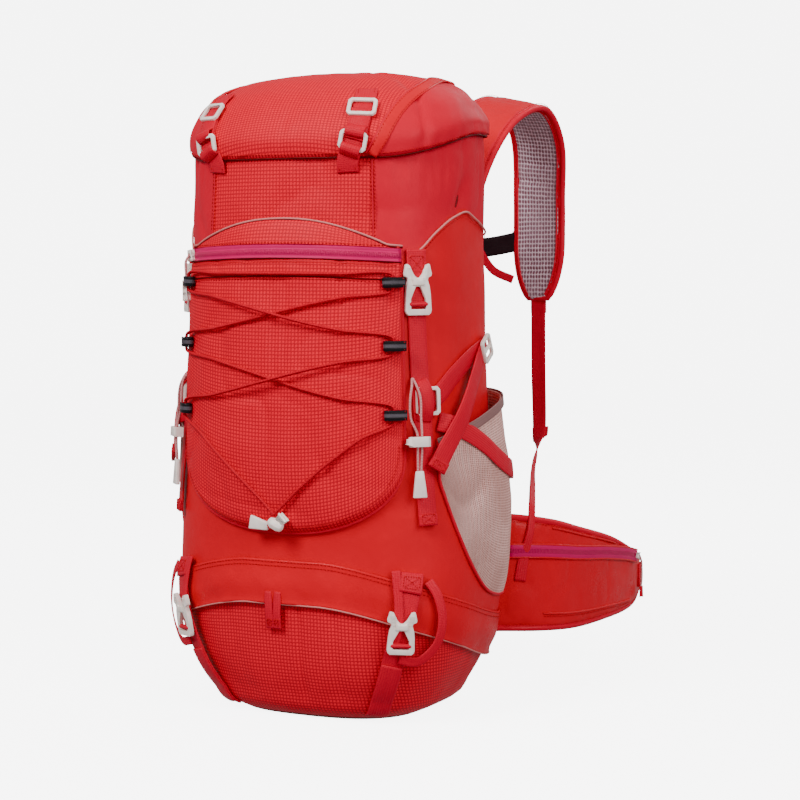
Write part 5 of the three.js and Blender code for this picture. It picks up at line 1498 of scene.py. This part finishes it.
def strap_pad(pad, node, line, width, thick, pressure, seams, band, most):
    """A stuffed strap for the right side, and its mirror for the left. seams are lengths along it
    that are sewn through, and band the width of its bound edge."""
    place = Strap(line, width)

    def held(points):
        across, length, out, half = place.find(points)
        edge = smoothstep(np.abs(across), half - band - 4, half - band + 1)
        sewn = np.zeros(len(points))
        for seam in seams:
            sewn = np.maximum(sewn, bell(length - seam, 2.6))
        return np.maximum(edge, sewn * (out < 0))

    points, faces = inflated(pad_grid(line, width * 0.99, thick * 0.9), held, pressure, most=most)
    across, length, out, half = place.find(points)
    wrinkle = creases(points * [1, 1, 0.7], 26, 41) * 0.5 + 0.4 * noise(points, 18, 42)
    near = np.abs(across) < half - band
    station = np.clip(np.searchsorted(line.length, length), 0, len(line.length) - 1)
    normal_way = np.sign(out)[:, None] * unit(line.out[station])
    points = points - normal_way * (wrinkle * near)[:, None]
    for seam in seams:
        groove = bell(length - seam, 1.6) * (out < 0) * near
        points = points - normal_way * (1.3 * groove)[:, None]
    uv = np.stack([across, length], -1)
    centre = np.array([[across[face].mean(), out[face].mean(), half[face].mean()] for face in faces])
    inner = centre[:, 1] < thick * 0.12
    edge = np.abs(centre[:, 0]) > centre[:, 2] - band
    zone = np.where(inner & ~edge, 1, np.where(edge, 2, 0))
    for side, name in SIDES[::-1]:
        order = faces if side > 0 else [face[::-1] for face in faces]
        finishes = ("glossy", "air mesh", "red piping")
        piece = mesh_piece(
            f"{pad}_{name}", points * [side, 1, 1], order, uv, finishes, f"{node}_{name}", zone
        )


def mirrored_line(line, side):
    return Line(line.middle * [side, 1, 1], line.out * [side, 1, 1])


def back_at(height):
    return float(bag_surface(180.0, height)[1])


def shoulder_line():
    reach = STRAP_REACH
    def on_back(share, drop, lift):
        return [STRAP_HALF * share, back_at(STRAP_TOP - drop) + STRAP_THICK / 2 + lift, STRAP_TOP - drop]
    rows = [
        (on_back(0.8, 112, 0.4), (0.2, -1, 0)), (on_back(0.81, 94, 0.9), (0.2, -1, 0.2)),
        ((0.86 * STRAP_HALF, 136, STRAP_TOP - 46), (0.2, -0.8, 0.8)),
        ((0.94 * STRAP_HALF, reach - 108, STRAP_TOP - 12), (0.2, -0.5, 1)),
        ((1.02 * STRAP_HALF, reach - 52, STRAP_TOP - 2), (0.2, 0.2, 1)),
        ((1.04 * STRAP_HALF, reach - 14, STRAP_TOP - 36), (0.2, 1, 0.6)),
        ((STRAP_HALF, reach, STRAP_TOP - 98), (0.2, 1, 0)),
        ((STRAP_HALF, reach, lerp(STRAP_TOP - 98, STRAP_TIP, 0.5)), (0.2, 1, 0)),
        ((STRAP_HALF, reach - 2, STRAP_TIP), (0.2, 1, 0)),
    ]
    return free_line(rows, 4.0)


def build_shoulder_straps(pressure):
    line = shoulder_line()
    key = line.share
    width = STRAP_WIDTH * np.where(key < 0.85, 1, np.sqrt(np.maximum(1 - ((key - 0.85) / 0.16) ** 2, 0.02)))
    falling = line.middle[:, 1] > STRAP_REACH - 20
    seams = [float(np.interp(-h, -line.middle[falling, 2], line.length[falling])) for h in (525, 506, 421, 413)]
    strap_pad("shoulder_pad", "shoulder_strap", line, width, STRAP_THICK, pressure, seams, 7.5, 2.4)
    rows = []
    for side, name in SIDES[::-1]:
        here = mirrored_line(line, side)
        tube(f"shoulder_binding_{name}", round_tip(here, width, 3.0), 3.2, "red piping")
        for edge in (-1, 1):
            bound = here.moved(edge * (width / 2 - 7.5), -STRAP_THICK * 0.47)
            tube(f"shoulder_seam_{name}_{(edge + 3) // 2}", bound.middle[2:-2], 0.8, "red piping")
            over = here.moved(edge * (width / 2 - 4.5), STRAP_THICK * 0.47).part(0.02, 0.95)
            rows.append(over)
            under = here.moved(edge * (width / 2 - 4.5), -STRAP_THICK * 0.5).part(0.02, 0.95)
            rows.append((under.middle, -under.out))
    stitches("shoulder_stitches", rows, "padded_fabric")


WEBBING_ROWS = [
    ((88, 286, 379.5), (0, 1, 0)), ((88, 288, 310), (0, 1, 0)), ((89, 287, 240), (0.2, 1, 0)),
    ((105, 232, 212), (1, 0.5, 0.4)), ((128, 176, 196), (1, 0, 0.8)), ((140, 147, 180), (0.8, -0.5, 0.5)),
    ((143, 137, 160), (0.7, -0.7, 0.1)), ((137, 132, 128), (0.6, -0.8, 0)), ((134, 131, 108), (0.6, -0.8, 0)),
]


def build_shoulder_webbing():
    rows = []
    for side, name in SIDES[::-1]:
        line = mirrored_line(free_line(WEBBING_ROWS, 2.5), side)
        width = lerp(WEB - 1.5, 8, smoothstep(line.share, 0.37, 0.42)) + 4 * smoothstep(line.share, 0.85, 1)
        curl = 0.8 * np.sin(line.share * 9) * (1 - smoothstep(line.share, 0.85, 1))
        web(f"shoulder_web_{name}", line, width - 0.4, WEB_THICK, f"shoulder_webbing_{name}", cup=curl)
        fold = line.part(0.345, 0.385).moved(0, 1.7)
        web(f"shoulder_web_fold_{name}", fold, WEB + 1.6, 2.2)
        rows += box_stitch(line, 0.345, 0.383, WEB - 4, 4.1)
        tab = free_line([((88, y, z), (0, 1, 0)) for y, z in ((285, 392), (286, 382), (286.6, 368))], 2.5)
        web(f"shoulder_web_tab_{name}", mirrored_line(tab, side), WEB - 0.8, 2.4)
    stitches("shoulder_web_stitches", rows, "webbing", **STRAP_STITCH)


def wing_line():
    def middle(q):
        return WING_FOOT + lerp(WING_ROOT, WING_TIP, q) / 2
    def y(q):
        return lerp(BACK_DEPTH - WING_SINK + WING_THICK / 2, WING_REACH, q)
    x = WING_HALF
    rows = [
        ((0.6, y(0), middle(0)), (0, -1, 0)), ((0.4 * x, y(0), middle(0)), (0.05, -1, 0)),
        ((0.66 * x, y(0.02), middle(0) + 2), (0.4, -0.9, 0)), ((0.85 * x, y(0.12), middle(0.1) + 2), (0.9, -0.5, 0)),
        ((0.94 * x, y(0.28), middle(0.24)), (1, -0.15, 0)), ((x, y(0.52), middle(0.45)), (1, 0, 0)),
        ((x, y(0.78), middle(0.72)), (1, 0.12, 0)), ((0.94 * x, y(1), middle(1) + 6), (1, 0.4, 0)),
    ]
    return free_line(rows, 4.5)


def wing_width(row):
    outward = np.clip((row - 0.27) / 0.73, 0, 1)
    tip = np.where(row < 0.92, 1, np.sqrt(np.maximum(1 - ((row - 0.92) / 0.09) ** 2, 0.02)))
    return lerp(WING_ROOT, WING_TIP, outward ** 1.5) * lerp(0.6, 1, tip)


def build_hip_wings(pressure):
    line = wing_line()
    width = wing_width(line.share)
    seams = [line.length[-1] * s for s in (0.36, 0.52, 0.68, 0.82)]
    strap_pad("hip_pad", "hip_wing", line, width, WING_THICK, pressure, seams, 6.0, 2.2)
    rows = []
    for side, name in SIDES[::-1]:
        here = mirrored_line(line, side)
        up = 1 if here.across[len(width) // 2, 2] > 0 else -1
        tube(f"hip_binding_{name}", round_tip(here, width, 3.4), 3.6, "red piping")
        for edge in (1, -1):
            sewn = here.moved(edge * (width / 2 - 6.5), WING_THICK * 0.47).part(0.3, 0.93)
            rows.append(sewn)
        lift = WING_THICK * 0.5 + 0.9
        high = np.interp(here.share, [0.3, 0.5, 0.6, 0.7, 0.8, 0.88], [0.19, 0.24, 0.27, 0.3, 0.35, 0.37])
        track = here.moved(up * width * high, lift).part(0.3, 0.88)
        sweep(f"hip_zip_{name}", track, 12.5, 1.6, "zip", turned=True)
        for across in (-6.4, 6.4):
            lip = track.moved(across, 0.8)
            tube(f"hip_zip_lip_{name}_{1 if across < 0 else 2}", lip.middle, 1.1, "glossy")
        seam = here.moved(-up * width * 0.34, WING_THICK * 0.48).part(0.4, 0.84)
        tube(f"hip_seam_{name}", seam.middle, 1.0, "glossy")
        rows.append((seam.moved(2.6, 0.2).middle, seam.out))
        upper = here.moved(up * width * 0.42, WING_THICK * 0.45).part(0.42, 0.72)
        tube(f"hip_ridge_{name}", upper.middle, 1.0, "glossy")
        end, out, ahead = track.middle[-1], track.out[-1], track.ahead[-1]
        slab(f"hip_zip_slider_{name}", end - ahead * 3 + out * 2.6, out, ahead, (9.5, 6.5, 3.4))
        fall = ((4.4, -1, 0), (5.4, 4, -7), (4.8, 6, -20), (4.2, 7, -33))
        cord = spline([end + out * a + ahead * b + [0, 0, z] for a, b, z in fall], 26)
        pull = tube(f"hip_zip_pull_{name}", cord, 1.1, "pale cord")
        grip = slab(f"hip_zip_grip_{name}", cord[-1] + [0, 0, -5], out, [0.02, 0, -1.0], (11, 4.6, 2.6), "webbing")
    stitches("hip_stitches", rows, "padded_fabric")


PAD_FOOT, PAD_TOP, PAD_TURN, PAD_DEPTH = 184, 466, 42.6, 9


def build_back_panel(pressure):
    """The padded back panel: a stuffed sheet sewn round its edge, down its middle and across."""
    def around_back(points):
        turn = np.degrees(np.arctan2(points[:, 0], points[:, 1]))
        return turn, points[:, 2]
    turns = np.linspace(-PAD_TURN, PAD_TURN, 36)
    heights = np.linspace(PAD_FOOT + 0.5, PAD_TOP - 0.5, 54)
    turn, height = np.meshgrid(turns, heights)
    side = np.clip(np.minimum(height - PAD_FOOT, PAD_TOP - height) / 10, 0, 1)
    side = np.minimum(np.clip((PAD_TURN - np.abs(turn)) / 5, 0, 1), side)
    lift = 2.6 + (PAD_DEPTH - 3.6) * np.sqrt(side)
    outer = on_bag(180 - turn, height, lift)
    inner = on_bag(180 - turn, height, 0.5)
    loops = np.concatenate([outer, inner[:, ::-1]], axis=1)
    cross = (238, 300, 362, 420)

    def held(points):
        turn, height = around_back(points)
        edge = smoothstep(np.abs(turn), PAD_TURN - 7, PAD_TURN - 4)
        edge = np.maximum(edge, smoothstep(np.abs(height - 325), 132, 137))
        sewn = bell(np.abs(turn) - 15, 1.2)
        for row in cross:
            sewn = np.maximum(sewn, bell(height - row, 2.6))
        radius = np.linalg.norm(points[:, :2], axis=-1)
        base = np.linalg.norm(on_bag(180 - turn, height, 2.4)[:, :2], axis=-1)
        return np.maximum(np.maximum(edge, sewn), radius < base)

    points, faces = inflated(loops, held, pressure, most=1.6)
    turn, height = around_back(points)
    radius = np.linalg.norm(points[:, :2], axis=-1)
    base = np.linalg.norm(on_bag(180 - turn, height, 3.2)[:, :2], axis=-1)
    open_face = radius > base
    groove = bell(np.abs(turn) - 15, 1.4)
    for row in cross:
        groove = np.maximum(groove, bell(height - row, 3.2))
    keep = smoothstep(PAD_TURN - np.abs(turn), 2, 6)
    inward = unit(points * [1, 1, 0])
    points = points - inward * (3.2 * groove * keep * open_face)[:, None]
    uv = np.stack([np.radians(turn) * 112, height], -1)
    centre = np.array([[np.abs(turn[face]).mean(), height[face].mean(), open_face[face].mean()] for face in faces])
    edge = (centre[:, 0] > PAD_TURN - 3.2) | (np.abs(centre[:, 1] - 325) > 135) | (centre[:, 2] < 0.5)
    pad = mesh_piece("back_pad", points, faces, uv, ("air mesh", "glossy"), "back_panel", edge.astype(int))
    half = PAD_TURN - 3.4
    flank = np.linspace(PAD_TOP - 20, PAD_FOOT + 20, 20)
    path = [(180 - t, PAD_TOP - 6, 5.6) for t in np.linspace(-half, half, 20)]
    path += [(180 - half, h, 5.6) for h in flank]
    path += [(180 - t, PAD_FOOT + 6, 5.6) for t in np.linspace(half, -half, 20)]
    path += [(180 + half, h, 5.6) for h in flank[::-1]]
    line = bag_line(path + path[:1])
    tube("back_pad_binding", line.middle, 1.6, "red piping")


# Belt and chest strap

def build_belt():
    height = WING_FOOT + WING_TIP / 2 + 6
    tip = WING_HALF * 0.94
    rows = [
        ((tip - 0.6, WING_REACH + 0.6, height), (1, 0.4, 0)), ((tip - 26, WING_REACH + 32, height), (0.8, 0.8, 0)),
        ((tip * 0.5, BELT_REACH - 4, height), (0.2, 1, 0)), ((26.3, BELT_REACH, height), (0, 1, 0)),
    ]
    stitch_rows = []
    for side, name in SIDES[::-1]:
        line = mirrored_line(free_line(rows, 2.5), side)
        width = lerp(24, BELT, smoothstep(line.share, 0, 0.25)) - 0.6
        cup = 0.7 * np.sin(np.pi * line.share)
        web(f"belt_web_{name}", line, width, WEB_THICK + 0.4, f"waist_strap_{name}", cup=cup)
        keeper = line.part(0.62, 0.7).moved(0, 2.0)
        sweep(f"belt_keeper_{name}", keeper, BELT + 1.5, 1.2, "keeper")
        tail = line.part(0.6, 0.985).moved(0, 2.1)
        web(f"belt_tail_{name}", tail, BELT - 1.4, 1.2, cup=0.7)
        stitch_rows += box_stitch(line, 0.03, 0.12, 18, 2.2)
        root = ((9.4, -24, 1.5, 0.2), (7.6, -12, 0.6, 0.3), (3.4, 0.5, 0, 0.5), (-6, 11.5, 0, 0.5))
        root = [((tip + x, WING_REACH + y, height + z), (1, lean, 0)) for x, y, z, lean in root]
        sewn = mirrored_line(free_line(root, 2.0), side)
        web(f"belt_root_{name}", sewn.moved(0, 0.6), 25, 2.0, cup=0.8)
    stitches("belt_stitches", stitch_rows, "webbing", **STRAP_STITCH)
    moulded("waist_buckle", 1.5)
    for side in (-1, 1):
        for k, drop in enumerate((-11, 0, 11)):
            spot = [side * 15, BELT_REACH + 4.2, height + drop]
            slab(f"waist_rib_{(side + 3) // 2}_{k + 1}", spot, [0, 1, 0], [side, 0, 0], (13, 4, 1.6))


def build_sternum():
    inside = STRAP_HALF - STRAP_WIDTH / 2 + 4
    shares = (-1, -0.5, 0, 0.5, 1)
    line = free_line([((s * inside, STRAP_REACH + 3.2, 443 - 7 * (1 - s ** 2)), (0, 1, 0)) for s in shares], 2.5)
    # The band and its anchors are near black, partly as painted shade for the unlit place they lie in.
    sweep("chest_web", line, WIDE_WEB - 0.6, WEB_THICK, "black webbing", "sternum_strap", cup=0.4)
    fall = ((18, 3.2, 433, 0.2), (34, 2.2, 413, 0), (58, -0.8, 403, 0))
    tail = free_line([((x, STRAP_REACH + y, z), (0, 1, lean)) for x, y, z, lean in fall], 2.0)
    web("chest_tail", tail, 8.8, 1.3)
    moulded("sternum_buckle", 1.1)
    for k in (-1, 1):
        slab(f"chest_rib_{(k + 3) // 2}", [k * 9, STRAP_REACH + 3.2, 436], [0, 1, 0], [k, 0, 0], (8, 12, 1.4))
    # Where the band is sewn to each shoulder strap
    for side, name in SIDES[::-1]:
        ends = ((-4, 4.8, 443, 0), (15, 4.9, 444, 0.1))
        part = free_line([((side * (inside + x), STRAP_REACH + y, z), (lean * side, 1, 0)) for x, y, z, lean in ends], 2.0)
        sweep(f"chest_anchor_{name}", part, WIDE_WEB + 1, 1.4, "black webbing")


# Stage

def build_stage():
    """A pale round studio that every view looks into, and soft lights from above."""
    profile = spline([(0.0, 0.0), (1.6, 0.0), (3.0, 0.0), (3.7, 0.12), (4.1, 0.6), (4.2, 1.4), (4.2, 3.4)], 60)
    turns = np.linspace(0, 2 * np.pi, 97)
    radius = np.maximum(profile[:, :1], 0.001)
    grid = np.stack([radius * np.cos(turns), radius * np.sin(turns), np.broadcast_to(profile[:, 1:], (60, 97))], -1)
    mesh = bpy.data.meshes.new("backdrop")
    mesh.from_pydata(grid.reshape(-1, 3).tolist(), [], grid_faces(60, 97, flip=True).tolist())
    mesh.polygons.foreach_set("use_smooth", np.ones(len(mesh.polygons), bool))
    floor = put("backdrop", mesh)
    floor.location.z = -0.0005
    paper = bpy.data.materials.new("backdrop paper")
    paper.use_nodes = True
    set_sockets(paper.node_tree.nodes["Principled BSDF"], {
        "Base Color": (0.94, 0.94, 0.94, 1), "Roughness": 0.9, "Specular IOR Level": 0.1,
        "Emission Color": (1, 1, 1, 1), "Emission Strength": 6.0,
    })
    mesh.materials.append(paper)
    floor.visible_diffuse = False
    floor.visible_glossy = False
    world = bpy.data.worlds.new("studio")
    world.use_nodes = True
    set_sockets(world.node_tree.nodes["Background"], {0: (1, 1, 1, 1), 1: 0.38})
    bpy.context.scene.world = world
    for name, place, size, watts in (
        ("key", (-0.7, -2.3, 2.3), 1.2, 84),
        ("fill", (2.4, -1.2, 1.6), 1.6, 52),
        ("top", (0.1, 0.0, 2.8), 2.4, 12),
        ("rim", (0.6, 2.3, 2.0), 1.2, 20),
    ):
        data = bpy.data.lights.new(name, "AREA")
        data.size = size
        data.energy = watts
        light = put(name, data)
        light.location = place
        light.rotation_euler = (Vector((0, 0, 0.3)) - Vector(place)).to_track_quat("-Z", "Y").to_euler()


FOCAL, HEADING, HORIZON = 2100, 28, (337, 255)


def build_camera():
    """The camera looks along its heading, turned a little so that the photo's horizon point sits off its middle."""
    angle = math.radians(HEADING)
    right = Vector((math.cos(angle), math.sin(angle), 0))
    ahead = Vector((-math.sin(angle), math.cos(angle), 0))
    look = ahead + right * (400 - HORIZON[0]) / FOCAL - Vector((0, 0, 1)) * (400 - HORIZON[1]) / FOCAL
    data = bpy.data.cameras.new("camera")
    data.sensor_width = 36
    data.lens = FOCAL / 800 * 36
    data.clip_end = 20
    camera = put("camera", data)
    camera.location = ahead * -2.0 + Vector((0, 0, 0.429))
    camera.rotation_euler = look.to_track_quat("-Z", "Y").to_euler()
    bpy.context.scene.camera = camera


# The add-on

class BackpackSettings(PropertyGroup):
    """What a user may change before building the backpack."""

    crease_depth: FloatProperty(
        name="Crease depth", description="How deep the folds in the cloth are, as a share of a worn pack's",
        default=1.0, min=0.0, max=2.0, subtype="FACTOR",
    )
    pad_pressure: FloatProperty(
        name="Pad pressure", description="How firmly the straps, belt and back panel are stuffed",
        default=4.0, min=0.5, max=12.0,
    )
    ripstop: FloatVectorProperty(
        name="Ripstop", description="Colour of the checked cloth on the lid, the front and the base",
        default=DYES["ripstop"][:3], min=0, max=1, size=3, subtype="COLOR",
    )
    panel: FloatVectorProperty(
        name="Panels", description="Colour of the smooth cloth on the sides, the flap and the harness",
        default=DYES["panel"][:3], min=0, max=1, size=3, subtype="COLOR",
    )
    webbing: FloatVectorProperty(
        name="Webbing", description="Colour of the straps and bindings",
        default=DYES["webbing"][:3], min=0, max=1, size=3, subtype="COLOR",
    )
    fittings: FloatVectorProperty(
        name="Fittings", description="Colour of the moulded buckles, sliders and cord locks",
        default=DYES["fittings"][:3], min=0, max=1, size=3, subtype="COLOR",
    )


def settings_of(context):
    """The user's sizes and colours, with the colours put among the dyes."""
    if not frame["nodes"]:
        raise RuntimeError("the packed model has no nodes to build over")
    settings = context.scene.backpack
    for dye in ("ripstop", "panel", "webbing", "fittings"):
        DYES[dye] = (*getattr(settings, dye), 1.0)
    return settings


class BACKPACK_OT_bag(Operator):
    """Builds the bag's body, bottom compartment, storm flap, seams and side piping."""
    bl_idname = "backpack.bag"
    bl_label = "Bag"

    def execute(self, context):
        settings = settings_of(context)
        build_main_bag(settings.crease_depth)
        build_bottom(settings.crease_depth)
        build_flap()
        build_bag_seams()
        return {"FINISHED"}


class BACKPACK_OT_lid(Operator):
    """Builds the lid, its bands and hem, and its two straps."""
    bl_idname = "backpack.lid"
    bl_label = "Lid"

    def execute(self, context):
        settings = settings_of(context)
        build_lid(settings.crease_depth)
        build_lid_trim()
        build_lid_straps()
        return {"FINISHED"}


class BACKPACK_OT_pocket(Operator):
    """Builds the front pocket with its zip, piping and lacing."""
    bl_idname = "backpack.pocket"
    bl_label = "Front pocket"

    def execute(self, context):
        settings = settings_of(context)
        build_pocket(settings.crease_depth)
        build_pocket_trim()
        build_lacing()
        return {"FINISHED"}


class BACKPACK_OT_sides(Operator):
    """Builds each side's straps and buckles, mesh pocket and pole holder."""
    bl_idname = "backpack.sides"
    bl_label = "Sides"

    def execute(self, context):
        settings_of(context)
        build_mesh_pockets()
        build_side_straps()
        build_pole_holders()
        return {"FINISHED"}


class BACKPACK_OT_bottom_straps(Operator):
    """Builds the straps, buckles and zip pulls over the bottom compartment."""
    bl_idname = "backpack.bottom_straps"
    bl_label = "Bottom straps"

    def execute(self, context):
        settings_of(context)
        build_bottom_straps()
        return {"FINISHED"}


class BACKPACK_OT_harness(Operator):
    """Builds the stuffed shoulder straps, back panel and hip belt, with their webbing and buckles."""
    bl_idname = "backpack.harness"
    bl_label = "Harness"

    def execute(self, context):
        settings = settings_of(context)
        build_back_panel(settings.pad_pressure)
        build_shoulder_straps(settings.pad_pressure)
        build_shoulder_webbing()
        build_hip_wings(settings.pad_pressure)
        build_belt()
        build_sternum()
        return {"FINISHED"}


class BACKPACK_OT_stage(Operator):
    """Sets up the backdrop, lights and camera."""
    bl_idname = "backpack.stage"
    bl_label = "Stage"

    def execute(self, context):
        settings_of(context)
        build_stage()
        build_camera()
        return {"FINISHED"}


STEPS = (
    BACKPACK_OT_bag, BACKPACK_OT_lid, BACKPACK_OT_pocket, BACKPACK_OT_sides,
    BACKPACK_OT_bottom_straps, BACKPACK_OT_harness, BACKPACK_OT_stage,
)


class BACKPACK_PT_panel(Panel):
    """Lists the backpack's settings and build steps."""
    bl_label = "Hiking Backpack"
    bl_idname = "BACKPACK_PT_panel"
    bl_space_type = "VIEW_3D"
    bl_region_type = "UI"
    bl_category = "Backpack"

    def draw(self, context):
        column = self.layout.column()
        for setting in ("crease_depth", "pad_pressure", "ripstop", "panel", "webbing", "fittings"):
            column.prop(context.scene.backpack, setting)
        for step in STEPS:
            column.operator(step.bl_idname)


CLASSES = (BackpackSettings, *STEPS, BACKPACK_PT_panel)


def register():
    for kind in CLASSES:
        bpy.utils.register_class(kind)
    bpy.types.Scene.backpack = PointerProperty(type=BackpackSettings)


def unregister():
    del bpy.types.Scene.backpack
    for kind in reversed(CLASSES):
        bpy.utils.unregister_class(kind)


def main():
    register()
    for step in STEPS:
        group, name = step.bl_idname.split(".")
        getattr(getattr(bpy.ops, group), name)()


if __name__ == "__main__":
    main()
